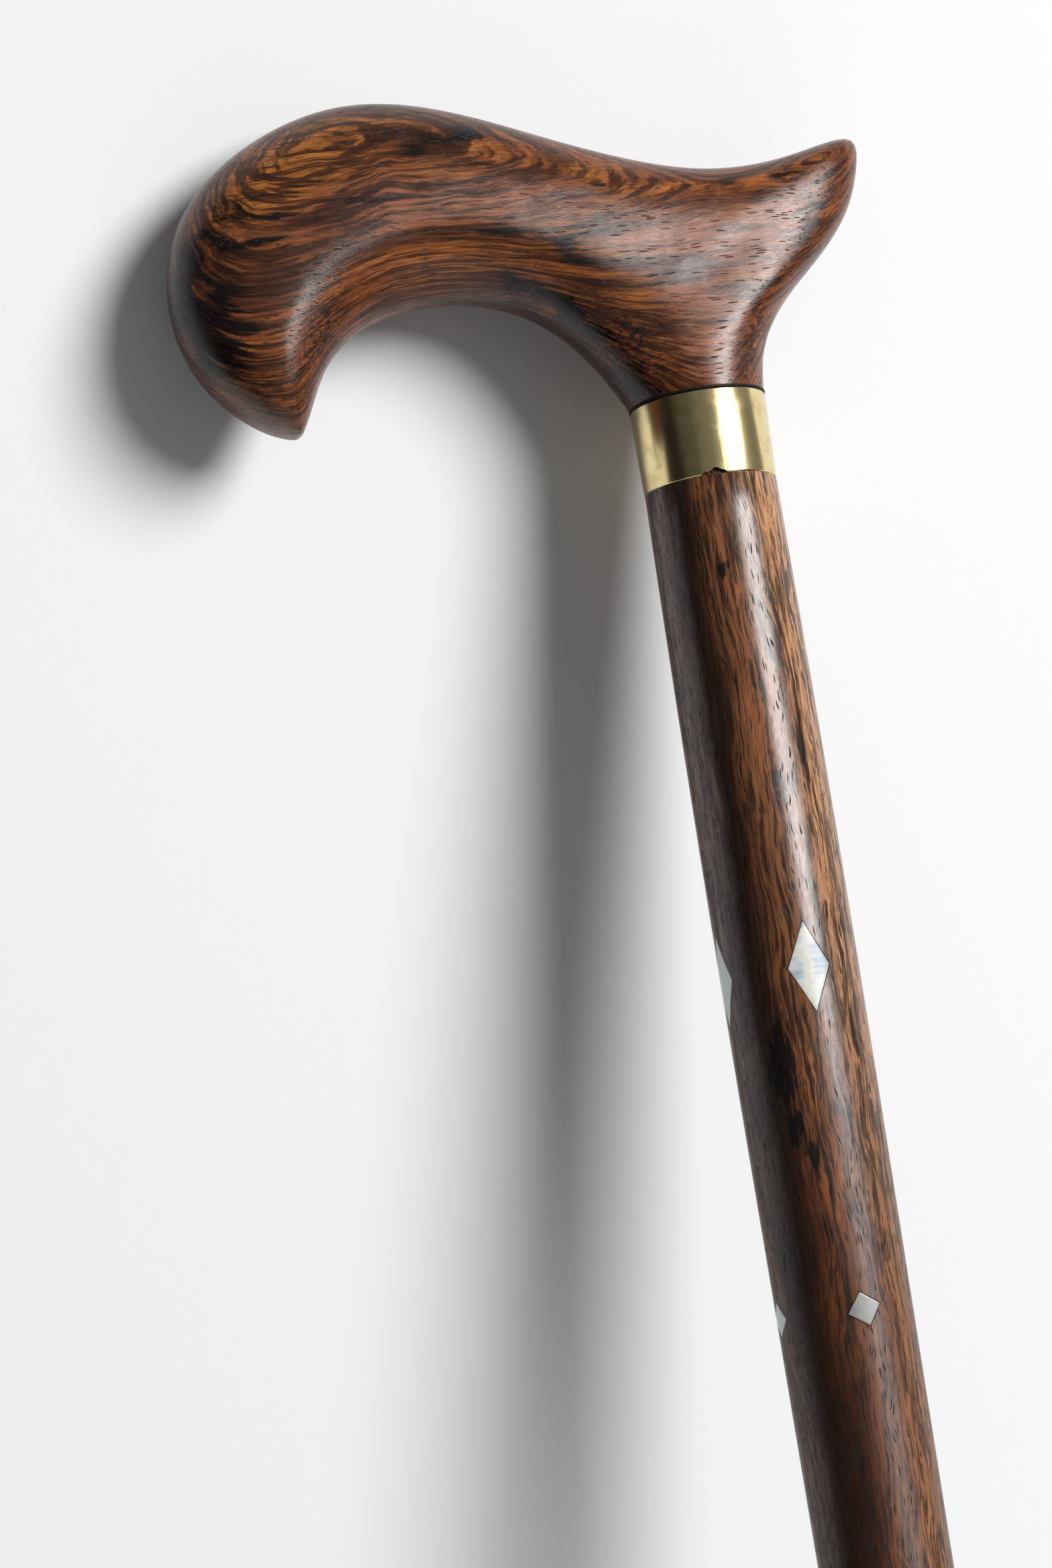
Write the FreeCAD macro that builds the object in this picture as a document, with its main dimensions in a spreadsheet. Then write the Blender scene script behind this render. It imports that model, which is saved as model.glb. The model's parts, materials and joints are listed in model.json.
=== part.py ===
import FreeCAD, Part
import Sketcher
import math
import os

# Walking stick with a derby handle. Millimetres. The shaft's axis is Z, the ground is z = 0 at the centre of
# the rubber ferrule's tread, the handle's beak points to -X and its tail to +X. The front inlays face -Y.
# From the top: carved wooden handle, black spacer, brass collar, turned wooden shaft with two rings of
# mother-of-pearl inlays, rubber ferrule with a steel washer in it. A steel stud joins handle and shaft.

SIZES = {
    "shoulder_height": 843.1,
    "hump_height": 61.0,
    "beak_reach": 92.6,
    "tail_reach": 37.4,
    "palm_width": 28.0,
    "spigot_length": 5.0,
    "spacer_thickness": 0.4,
    "spacer_overhang": 0.12,
    "collar_length": 15.5,
    "collar_top_diameter": 24.6,
    "collar_foot_diameter": 24.0,
    "collar_bore": 22.0,
    "collar_chamfer": 0.25,
    "glue_gap": 0.1,
    "end_gap": 0.3,
    "stud_diameter": 8.0,
    "stud_chamfer": 0.8,
    "stud_in_handle": 30.0,
    "stud_in_shaft": 40.0,
    "shoulder_diameter": 23.8,
    "swell_diameter": 24.7,
    "swell_drop": 72.0,
    "shaft_tip_diameter": 19.0,
    "shaft_tip_chamfer": 0.6,
    "large_inlay_length": 16.2,
    "large_inlay_width": 7.8,
    "large_ring_drop": 88.5,
    "small_inlay_length": 6.3,
    "small_inlay_width": 6.3,
    "small_ring_drop": 148.0,
    "mortise_depth": 1.6,
    "ferrule_height": 38.0,
    "ferrule_cup_diameter": 24.6,
    "ferrule_base_diameter": 33.0,
    "ferrule_base_height": 10.0,
    "ferrule_step_rise": 5.0,
    "ferrule_lip_height": 4.0,
    "ferrule_lip_step": 0.8,
    "ferrule_floor": 8.0,
    "ferrule_edge": 0.7,
    "ferrule_grip_gap": 0.05,
    "tread_depth": 1.5,
    "tread_disc_diameter": 8.0,
    "tread_groove": 2.4,
    "tread_ring": 2.8,
    "base_groove_depth": 0.8,
    "base_groove_width": 1.4,
    "washer_thickness": 1.2,
    "washer_diameter": 18.4,
    "washer_hole": 5.0,
    "overrun": 4.0,
}

# Levels and radii that follow from the sizes above.
DERIVED = {
    "collar_top": "=shoulder_height + collar_length",
    "handle_foot": "=collar_top + spacer_thickness",
    "spigot_radius": "=collar_bore / 2 - glue_gap / 2",
    "spigot_foot": "=collar_top - spigot_length",
    "tenon_top": "=spigot_foot - end_gap",
    "stud_bore_radius": "=stud_diameter / 2 + glue_gap / 2",
    "stud_top": "=handle_foot + stud_in_handle",
    "stud_foot": "=shoulder_height - stud_in_shaft",
    "shaft_foot": "=ferrule_floor + washer_thickness + end_gap",
    "swell_level": "=shoulder_height - swell_drop",
    # The shaft's two bends are parabolas, radius against height, and meet with one slope at bend_change.
    "swell_rise": "=swell_level - ferrule_height",
    "swell_growth": "=(swell_diameter - shaft_tip_diameter) / 2",
    "swell_bend": "=(swell_diameter - shoulder_diameter) / 2 / swell_drop ^ 2",
    "taper_bend": "=swell_bend * swell_growth / (swell_bend * swell_rise ^ 2 - swell_growth)",
    "bend_change": "=ferrule_height + swell_rise * swell_bend / (swell_bend + taper_bend)",
    "large_ring_level": "=shoulder_height - large_ring_drop",
    "small_ring_level": "=shoulder_height - small_ring_drop",
    "ferrule_bore_radius": "=shaft_tip_diameter / 2 + ferrule_grip_gap",
}

# The handle is carved round the finger arch. Each station is a flat section between a point on the arch and a
# point on the back of the handle. X shares are of beak_reach left of the axis and of tail_reach right of it,
# Z shares are of hump_height above the handle's foot, and widths are shares of half the palm width.
STATION_SHARES = [
    # arch x, arch z, back x, back z, half width, place of the widest line
    (-0.782, 0.018, -0.797, 0.012, 0.20, 0.50),
    (-0.772, 0.045, -0.836, 0.036, 0.45, 0.48),
    (-0.757, 0.092, -0.890, 0.090, 0.66, 0.45),
    (-0.736, 0.160, -0.950, 0.185, 0.81, 0.42),
    (-0.709, 0.224, -0.991, 0.320, 0.90, 0.40),
    (-0.667, 0.285, -1.000, 0.490, 0.95, 0.39),
    (-0.614, 0.330, -0.956, 0.690, 0.98, 0.38),
    (-0.549, 0.358, -0.818, 0.880, 1.00, 0.37),
    (-0.480, 0.369, -0.615, 0.980, 1.00, 0.36),
    (-0.405, 0.361, -0.405, 0.932, 0.99, 0.36),
    (-0.334, 0.333, -0.220, 0.826, 0.97, 0.36),
    (-0.275, 0.287, -0.045, 0.733, 0.94, 0.36),
    (-0.233, 0.233, 0.250, 0.691, 0.91, 0.36),
    (-0.206, 0.188, 0.600, 0.707, 0.89, 0.35),
    (-0.189, 0.153, 0.870, 0.748, 0.88, 0.33),
    (-0.178, 0.130, 0.990, 0.750, 0.87, 0.32),
    (-0.170, 0.112, 0.983, 0.665, 0.87, 0.32),
    (-0.162, 0.090, 0.896, 0.530, 0.87, 0.34),
    (-0.153, 0.065, 0.728, 0.403, 0.87, 0.38),
    (-0.144, 0.036, 0.497, 0.265, 0.87, 0.43),
    (-0.136, 0.012, 0.352, 0.110, 0.87, 0.48),
]
# Exponents of a section's rounding on its arch side and its back. Two is an ellipse, less leaves a soft ridge
# along the widest line, and more is fuller. The last stations run into the round foot.
ARCH_EXPONENT = 1.75
BACK_EXPONENT = 2.25
FOOT_EXPONENT = 2.0
NECK_STATIONS = 6
# Steps in a quarter of a section, and steps past the plane of symmetry that keep the surface smooth there.
QUARTER_STEPS = 4
MARGIN_STEPS = 3
# Stations where the handle's faces end: beak, palm, tail and neck.
FACE_STATIONS = (0, 7, 14, 21)

# Where the shaft's taper and swell are turned to size, as shares of the taper's and the swell's height.
TAPER_SHARES = (0.35, 0.7, 1.0)
SWELL_SHARES = (0.36, 0.68)

INLAY_ANGLES = {"front": 0.0, "left": -90.0, "back": 180.0, "right": 90.0}
# One small inlay was set askew by hand.
SMALL_INLAY_TWISTS = {"front": 10.0}

X_AXIS = FreeCAD.Vector(1, 0, 0)
Y_AXIS = FreeCAD.Vector(0, 1, 0)
Z_AXIS = FreeCAD.Vector(0, 0, 1)
# Geometry numbers that a sketch gives to its own axes, and its origin as a constraint names it.
H_AXIS_ID = -1
V_AXIS_ID = -2
SKETCH_ORIGIN = (-1, 1)


def make_sheet(doc):
    """Put the driving sizes and what follows from them in a spreadsheet."""
    sheet = doc.addObject("Spreadsheet::Sheet", "Sizes")
    rows = list(SIZES.items()) + list(DERIVED.items())
    for row, (name, value) in enumerate(rows, start=1):
        sheet.set(f"A{row}", name)
        sheet.set(f"B{row}", str(value))
        sheet.setAlias(f"B{row}", name)
    doc.recompute()
    return sheet


def new_body(doc, label):
    """Make an empty body."""
    body = doc.addObject("PartDesign::Body", label)
    body.Label = label
    return body


def new_sketch(body, name, role):
    """Attach an empty sketch to one of the body's own origin planes."""
    plane = next(feature for feature in body.Origin.OriginFeatures if feature.Role == role)
    sketch = body.newObject("Sketcher::SketchObject", name)
    sketch.AttachmentSupport = (plane, "")
    sketch.MapMode = "FlatFace"
    return sketch


def pin_point(sketch, line, kind, expression):
    """Bind one coordinate of a line's start to an expression, or put it on the axis where it is zero."""
    axis = V_AXIS_ID if kind == "DistanceX" else H_AXIS_ID
    if expression == "0":
        sketch.addConstraint(Sketcher.Constraint("PointOnObject", line, 1, axis))
        return
    value = sketch.evalExpression(expression)
    index = sketch.addConstraint(Sketcher.Constraint(kind, *SKETCH_ORIGIN, line, 1, float(value)))
    sketch.setExpression(f"Constraints[{index}]", expression)


def draw_outline(sketch, corners):
    """Draw a closed outline of straight lines through corners, each a pair of expressions."""
    points = []
    for across, up in corners:
        place = (float(sketch.evalExpression(across)), float(sketch.evalExpression(up)))
        points.append(FreeCAD.Vector(*place, 0))
    ends = points[1:] + points[:1]
    sketch.addGeometry([Part.LineSegment(start, end) for start, end in zip(points, ends)], False)
    for line in range(len(points)):
        following = (line + 1) % len(points)
        sketch.addConstraint(Sketcher.Constraint("Coincident", line, 2, following, 1))
    for line, (across, up) in enumerate(corners):
        pin_point(sketch, line, "DistanceX", across)
        pin_point(sketch, line, "DistanceY", up)


def turned_body(doc, label, corners):
    """Turn an outline of (radius, height) corners about the shaft's axis."""
    body = new_body(doc, label)
    sketch = new_sketch(body, f"{label}_outline", "XZ_Plane")
    draw_outline(sketch, corners)
    turning = body.newObject("PartDesign::Revolution", f"{label}_turning")
    turning.Profile = sketch
    turning.ReferenceAxis = (sketch, ["V_Axis"])
    turning.Angle = 360
    doc.recompute()
    return body


def bound_cylinder(doc, name, radius, foot, height):
    """Make an upright cylinder on the axis whose sizes are expressions."""
    cylinder = doc.addObject("Part::Cylinder", name)
    cylinder.setExpression("Radius", radius)
    cylinder.setExpression("Height", height)
    cylinder.setExpression("Placement.Base.z", foot)
    return cylinder


def station_places(sizes):
    """Return the handle's stations in millimetres, the foot circle last."""
    half_palm = sizes.palm_width / 2
    places = []
    for arch_x, arch_z, back_x, back_z, width, widest in STATION_SHARES:
        back_reach = sizes.beak_reach if back_x < 0 else sizes.tail_reach
        arch = FreeCAD.Vector(arch_x * sizes.beak_reach, 0, arch_z * sizes.hump_height)
        back = FreeCAD.Vector(back_x * back_reach, 0, back_z * sizes.hump_height)
        places.append((arch, back, width * half_palm, widest))
    foot_radius = sizes.collar_top_diameter / 2
    places.append((X_AXIS * -foot_radius, X_AXIS * foot_radius, foot_radius, 0.5))
    return places


def section_points(arch, back, half_width, widest, arch_exponent, back_exponent):
    """Points round the +Y half of a section of two half ovals that meet along its widest line."""
    span = back - arch
    half_turn = 2 * QUARTER_STEPS
    points = []
    for step in range(-MARGIN_STEPS, half_turn + MARGIN_STEPS + 1):
        angle = math.pi * step / half_turn
        on_arch_side = math.cos(angle) > 0
        exponent = arch_exponent if on_arch_side else back_exponent
        depth = widest if on_arch_side else 1 - widest
        along = widest - math.copysign(depth * abs(math.cos(angle)) ** (2 / exponent), math.cos(angle))
        across = math.copysign(abs(math.sin(angle)) ** (2 / exponent), math.sin(angle))
        points.append(arch + span * along + Y_AXIS * (half_width * across))
    return points


def handle_side(sizes):
    """Smooth surface through the +Y half of the handle's sections, which turn round at the neck."""
    places = station_places(sizes)
    last = len(places) - 1
    rows = []
    for index, (arch, back, half_width, widest) in enumerate(places):
        towards_foot = max(0.0, (index - last + NECK_STATIONS) / NECK_STATIONS)
        arch_exponent = ARCH_EXPONENT + (FOOT_EXPONENT - ARCH_EXPONENT) * towards_foot
        back_exponent = BACK_EXPONENT + (FOOT_EXPONENT - BACK_EXPONENT) * towards_foot
        rows.append(section_points(arch, back, half_width, widest, arch_exponent, back_exponent))
    surface = Part.BSplineSurface()
    surface.interpolate(rows)
    return surface


def handle_solid(sizes):
    """Close the side, its mirror image and two flat ends to a solid."""
    side = handle_side(sizes)
    # The surface has one knot at each station and one at each point round a section.
    along = [side.getUKnots()[station] for station in FACE_STATIONS]
    arch_line, widest_line, back_line = side.getVKnots()[MARGIN_STEPS:-MARGIN_STEPS:QUARTER_STEPS]
    around = ((arch_line, widest_line), (widest_line, back_line))
    faces = []
    for start, end in zip(along, along[1:]):
        for low, high in around:
            patch = side.copy()
            patch.segment(start, end, low, high)
            faces.append(patch.toShape())
    faces += [face.mirror(FreeCAD.Vector(), Y_AXIS) for face in faces]
    for station in (along[0], along[-1]):
        rim = side.uIso(station)
        edges = [rim.toShape(low, high) for low, high in around]
        edges += [edge.mirror(FreeCAD.Vector(), Y_AXIS) for edge in edges]
        faces.append(Part.Face(Part.Wire(Part.__sortEdges__(edges))))
    shell = Part.makeShell(faces)
    shell.sewShape()
    solid = Part.makeSolid(shell)
    if solid.Volume < 0:
        solid.reverse()
    return solid


def make_handle(doc, sizes):
    """Carved handle with its spigot for the collar and the blind bore for the stud."""
    carving = doc.addObject("Part::Feature", "handle_carving")
    carving.Shape = handle_solid(sizes)
    carving.Placement = FreeCAD.Placement(Z_AXIS * sizes.handle_foot, FreeCAD.Rotation())
    spigot = bound_cylinder(
        doc, "handle_spigot", "Sizes.spigot_radius", "Sizes.spigot_foot",
        "Sizes.handle_foot - Sizes.spigot_foot + Sizes.overrun",
    )
    joined = doc.addObject("Part::Fuse", "handle_with_spigot")
    joined.Base = carving
    joined.Tool = spigot
    bore = bound_cylinder(
        doc, "handle_bore", "Sizes.stud_bore_radius", "Sizes.spigot_foot - Sizes.overrun",
        "Sizes.stud_top + Sizes.end_gap - Sizes.spigot_foot + Sizes.overrun",
    )
    handle = doc.addObject("Part::Cut", "handle")
    handle.Base = joined
    handle.Tool = bore
    return handle


def make_spacer(doc):
    """Thin black spacer round the spigot, between handle and collar."""
    bore = "Sizes.spigot_radius + Sizes.glue_gap / 2"
    rim = "Sizes.collar_top_diameter / 2 + Sizes.spacer_overhang"
    return turned_body(doc, "spacer", [
        (bore, "Sizes.collar_top"),
        (rim, "Sizes.collar_top"),
        (rim, "Sizes.handle_foot"),
        (bore, "Sizes.handle_foot"),
    ])


def make_collar(doc):
    """Brass collar, a little wider at the top, with both outer edges broken."""
    bore = "Sizes.collar_bore / 2"
    top = "Sizes.collar_top_diameter / 2"
    foot = "Sizes.collar_foot_diameter / 2"
    return turned_body(doc, "collar", [
        (bore, "Sizes.shoulder_height"),
        (f"{foot} - Sizes.collar_chamfer", "Sizes.shoulder_height"),
        (foot, "Sizes.shoulder_height + Sizes.collar_chamfer"),
        (top, "Sizes.collar_top - Sizes.collar_chamfer"),
        (f"{top} - Sizes.collar_chamfer", "Sizes.collar_top"),
        (bore, "Sizes.collar_top"),
    ])


def make_stud(doc):
    """Steel stud glued into the handle and the shaft, with chamfered ends."""
    rim = "Sizes.stud_diameter / 2"
    return turned_body(doc, "joining_stud", [
        ("0", "Sizes.stud_foot"),
        (f"{rim} - Sizes.stud_chamfer", "Sizes.stud_foot"),
        (rim, "Sizes.stud_foot + Sizes.stud_chamfer"),
        (rim, "Sizes.stud_top - Sizes.stud_chamfer"),
        (f"{rim} - Sizes.stud_chamfer", "Sizes.stud_top"),
        ("0", "Sizes.stud_top"),
    ])


def make_blank(doc):
    """Turned blank of the shaft: a hollow taper from the ferrule's seat into the swell below the collar."""
    tip = "Sizes.shaft_tip_diameter / 2"
    tenon = "Sizes.spigot_radius"
    corners = [
        ("0", "Sizes.shaft_foot"),
        (f"{tip} - Sizes.shaft_tip_chamfer", "Sizes.shaft_foot"),
        (tip, "Sizes.shaft_foot + Sizes.shaft_tip_chamfer"),
        (tip, "Sizes.ferrule_height"),
    ]
    for share in TAPER_SHARES:
        rise = f"{share} * (Sizes.bend_change - Sizes.ferrule_height)"
        corners.append((f"{tip} + Sizes.taper_bend * ({rise}) ^ 2", f"Sizes.ferrule_height + {rise}"))
    for share in SWELL_SHARES:
        level = f"Sizes.bend_change + {share} * (Sizes.shoulder_height - Sizes.bend_change)"
        drop = f"Sizes.swell_bend * ({level} - Sizes.swell_level) ^ 2"
        corners.append((f"Sizes.swell_diameter / 2 - {drop}", level))
    corners += [
        ("Sizes.shoulder_diameter / 2", "Sizes.shoulder_height"),
        (tenon, "Sizes.shoulder_height"),
        (tenon, "Sizes.tenon_top"),
        ("0", "Sizes.tenon_top"),
    ]
    return turned_body(doc, "shaft_blank", corners)


def inlay_block(doc, name, ring, angle, twist, trim):
    """Pad a rhombus outwards from its floor under the shaft's surface, shrunk all round by trim."""
    half_length = f"Sizes.{ring}_inlay_length / 2 - {trim}"
    half_width = f"Sizes.{ring}_inlay_width / 2 - {trim}"
    body = new_body(doc, name)
    sketch = new_sketch(body, f"{name}_rhombus", "XZ_Plane")
    draw_outline(sketch, [
        (half_width, "0"), ("0", half_length), (f"-({half_width})", "0"), ("0", f"-({half_length})"),
    ])
    floor = f"Sizes.swell_diameter / 2 - Sizes.mortise_depth + {trim}"
    sketch.setExpression("AttachmentOffset.Base.z", floor)
    pad = body.newObject("PartDesign::Pad", f"{name}_pad")
    pad.Profile = sketch
    pad.setExpression("Length", "Sizes.mortise_depth + Sizes.overrun")
    turn = FreeCAD.Rotation(Z_AXIS, angle) * FreeCAD.Rotation(Y_AXIS, twist)
    body.Placement = FreeCAD.Placement(FreeCAD.Vector(), turn)
    body.setExpression("Placement.Base.z", f"Sizes.{ring}_ring_level")
    return body


def make_inlays(doc, blank):
    """Return the flush pearl plates, and the mortise blocks that the shaft is cut by."""
    plates = []
    mortises = []
    for ring, twists in (("large", {}), ("small", SMALL_INLAY_TWISTS)):
        for side, angle in INLAY_ANGLES.items():
            twist = twists.get(side, 0.0)
            node = f"{ring}_inlay_{side}"
            mortises.append(inlay_block(doc, f"{node}_mortise", ring, angle, twist, "0"))
            plate = doc.addObject("Part::Common", node)
            plate.Base = inlay_block(doc, f"{node}_block", ring, angle, twist, "Sizes.glue_gap")
            plate.Tool = blank
            plates.append(plate)
    return plates, mortises


def make_shaft(doc, blank, mortises):
    """Shaft with its stud bore and its eight mortises."""
    bore = bound_cylinder(
        doc, "shaft_bore", "Sizes.stud_bore_radius", "Sizes.stud_foot - Sizes.end_gap",
        "Sizes.tenon_top - Sizes.stud_foot + Sizes.end_gap + Sizes.overrun",
    )
    cutters = doc.addObject("Part::Compound", "shaft_cutters")
    cutters.Links = [bore] + mortises
    shaft = doc.addObject("Part::Cut", "shaft")
    shaft.Base = blank
    shaft.Tool = cutters
    return shaft


def make_ferrule(doc):
    """Rubber ferrule: wide ringed foot, grooved tread, cup with a lip round the shaft's tip."""
    base = "Sizes.ferrule_base_diameter / 2"
    disc = "Sizes.tread_disc_diameter / 2"
    ring_start = f"{disc} + Sizes.tread_groove"
    ring_end = f"{ring_start} + Sizes.tread_ring"
    foot_start = f"{ring_end} + Sizes.tread_groove"
    groove_low = "Sizes.ferrule_base_height / 2 - Sizes.base_groove_width / 2"
    groove_high = "Sizes.ferrule_base_height / 2 + Sizes.base_groove_width / 2"
    lip_foot = "Sizes.ferrule_height - Sizes.ferrule_lip_height"
    wall = "Sizes.ferrule_cup_diameter / 2"
    lip = f"{wall} + Sizes.ferrule_lip_step"
    return turned_body(doc, "ferrule", [
        ("0", "0"),
        (disc, "0"),
        (disc, "Sizes.tread_depth"),
        (ring_start, "Sizes.tread_depth"),
        (ring_start, "0"),
        (ring_end, "0"),
        (ring_end, "Sizes.tread_depth"),
        (foot_start, "Sizes.tread_depth"),
        (foot_start, "0"),
        (base, "0"),
        (base, groove_low),
        (f"{base} - Sizes.base_groove_depth", groove_low),
        (f"{base} - Sizes.base_groove_depth", groove_high),
        (base, groove_high),
        (base, "Sizes.ferrule_base_height - Sizes.ferrule_edge"),
        (f"{base} - Sizes.ferrule_edge", "Sizes.ferrule_base_height"),
        (wall, "Sizes.ferrule_base_height + Sizes.ferrule_step_rise"),
        (wall, lip_foot),
        (lip, lip_foot),
        (lip, "Sizes.ferrule_height - Sizes.ferrule_edge"),
        (f"{lip} - Sizes.ferrule_edge", "Sizes.ferrule_height"),
        ("Sizes.ferrule_bore_radius", "Sizes.ferrule_height"),
        ("Sizes.ferrule_bore_radius", "Sizes.ferrule_floor"),
        ("0", "Sizes.ferrule_floor"),
    ])


def make_ferrule_washer(doc):
    """Steel washer on the ferrule's floor, which keeps the shaft from cutting through the rubber."""
    return turned_body(doc, "ferrule_washer", [
        ("Sizes.washer_hole / 2", "Sizes.ferrule_floor"),
        ("Sizes.washer_diameter / 2", "Sizes.ferrule_floor"),
        ("Sizes.washer_diameter / 2", "Sizes.ferrule_floor + Sizes.washer_thickness"),
        ("Sizes.washer_hole / 2", "Sizes.ferrule_floor + Sizes.washer_thickness"),
    ])


def check_document(doc, nodes):
    """Stop if any object failed or any node has no valid solid."""
    for item in doc.Objects:
        if "Invalid" in item.State or "Error" in item.State:
            raise RuntimeError(f"{item.Label} failed: {item.State}")
    for node in nodes:
        shape = node.Shape
        if shape.isNull() or not shape.isValid() or len(shape.Solids) != 1:
            raise RuntimeError(f"{node.Label} is not one valid solid")


def main():
    doc = FreeCAD.newDocument("walking_stick")
    sizes = make_sheet(doc)
    blank = make_blank(doc)
    plates, mortises = make_inlays(doc, blank)
    shaft = make_shaft(doc, blank, mortises)
    nodes = [
        make_handle(doc, sizes),
        make_spacer(doc),
        make_collar(doc),
        make_stud(doc),
        shaft,
        make_ferrule(doc),
        make_ferrule_washer(doc),
    ] + plates
    doc.recompute()
    check_document(doc, nodes)
    if shaft.Shape.Volume >= blank.Shape.Volume:
        raise RuntimeError("the shaft's bore and mortises cut nothing")
    os.makedirs("parts", exist_ok=True)
    for node in nodes:
        node.Shape.exportStep(f"parts/{node.Label}.step")


main()
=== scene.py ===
"""Looks of a walking stick: derby handle, brass collar, turned shaft with pearl inlays, rubber ferrule."""

from __future__ import annotations

import json
import logging
import math
from contextlib import contextmanager
from dataclasses import dataclass
from enum import Enum
from typing import Callable, Iterator, Sequence

import bmesh
import bpy
import numpy as np
from mathutils import Matrix, Vector

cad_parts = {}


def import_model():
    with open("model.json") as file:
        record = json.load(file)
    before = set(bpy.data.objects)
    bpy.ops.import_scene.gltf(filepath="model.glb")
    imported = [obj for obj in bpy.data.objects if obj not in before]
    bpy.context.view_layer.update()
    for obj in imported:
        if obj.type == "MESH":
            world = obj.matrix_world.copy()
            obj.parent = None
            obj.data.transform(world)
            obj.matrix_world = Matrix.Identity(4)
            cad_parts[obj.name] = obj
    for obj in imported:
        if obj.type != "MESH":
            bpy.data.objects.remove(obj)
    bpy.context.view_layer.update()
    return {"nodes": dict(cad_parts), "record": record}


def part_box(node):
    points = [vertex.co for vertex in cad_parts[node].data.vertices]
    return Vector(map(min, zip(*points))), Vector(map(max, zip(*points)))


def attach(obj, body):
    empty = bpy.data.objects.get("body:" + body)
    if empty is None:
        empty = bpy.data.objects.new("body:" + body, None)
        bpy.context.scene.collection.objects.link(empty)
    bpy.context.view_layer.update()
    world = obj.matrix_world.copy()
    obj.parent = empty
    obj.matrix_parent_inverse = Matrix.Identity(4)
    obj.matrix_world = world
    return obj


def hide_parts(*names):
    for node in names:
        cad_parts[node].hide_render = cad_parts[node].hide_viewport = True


log = logging.getLogger("walking_stick")

MM = 0.001
# Millimetres: how far below the collar the inlays' middles lie, and how far the spacer's edges are rounded.
LARGE_INLAY_DROP = 88.5
SMALL_INLAY_DROP = 148.0
SPACER_EDGE = 0.08
Triple = tuple[float, float, float]
Profile = Sequence[tuple[float, float]]
Ring = Sequence[Vector]
Piece = bpy.types.Object
Material = bpy.types.Material
Tree = bpy.types.NodeTree


class Slot(str, Enum):
    """Material slots of the record."""

    HANDLE = "handle_wood"
    SHAFT = "shaft_wood"
    BRASS = "brass"
    FIBRE = "black_fibre"
    STEEL = "steel"
    PEARL = "mother_of_pearl"
    RUBBER = "rubber"


class Body(str, Enum):
    """Bodies of the record that a piece can ride on."""

    STICK = "stick"
    FOOT = "foot"


class Ending(Enum):
    """How the first and the last ring of a grown mesh are closed."""

    CAPPED = "capped"
    JOINED = "joined"


class Field:
    """A number, vector or colour that changes over the surface, as a node puts it out."""

    def __init__(self, graph: Graph, socket: bpy.types.NodeSocket) -> None:
        """Wrap a node's output.

        Args:
            graph: The node tree that new nodes are added to.
            socket: The output.
        """
        self.graph = graph
        self.socket = socket

    def combine(self, operation: str, other: object) -> Field:
        """Combine this value with another, as vectors if this one is a vector or a colour."""
        join = self.graph.math if self.socket.type == "VALUE" else self.graph.vector
        return join(operation, self, other)

    def __add__(self, other: object) -> Field:
        """Add another value."""
        return self.combine("ADD", other)

    def __sub__(self, other: object) -> Field:
        """Take another value away."""
        return self.combine("SUBTRACT", other)

    def __mul__(self, other: object) -> Field:
        """Multiply by another value."""
        return self.combine("MULTIPLY", other)

    def __truediv__(self, other: object) -> Field:
        """Divide by another value."""
        return self.combine("DIVIDE", other)

    def remap(self, low: object, high: object, to_low: float = 0.0, to_high: float = 1.0,
              smooth: bool = True) -> Field:
        """Map a range of the number to another range, with soft ends if asked, and keep it in there."""
        node = self.graph.add("ShaderNodeMapRange", interpolation_type="SMOOTHSTEP" if smooth else "LINEAR")
        return self.graph.put(node, {"Value": self, "From Min": low, "From Max": high, "To Min": to_low,
                                     "To Max": to_high}, "Result")


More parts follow.
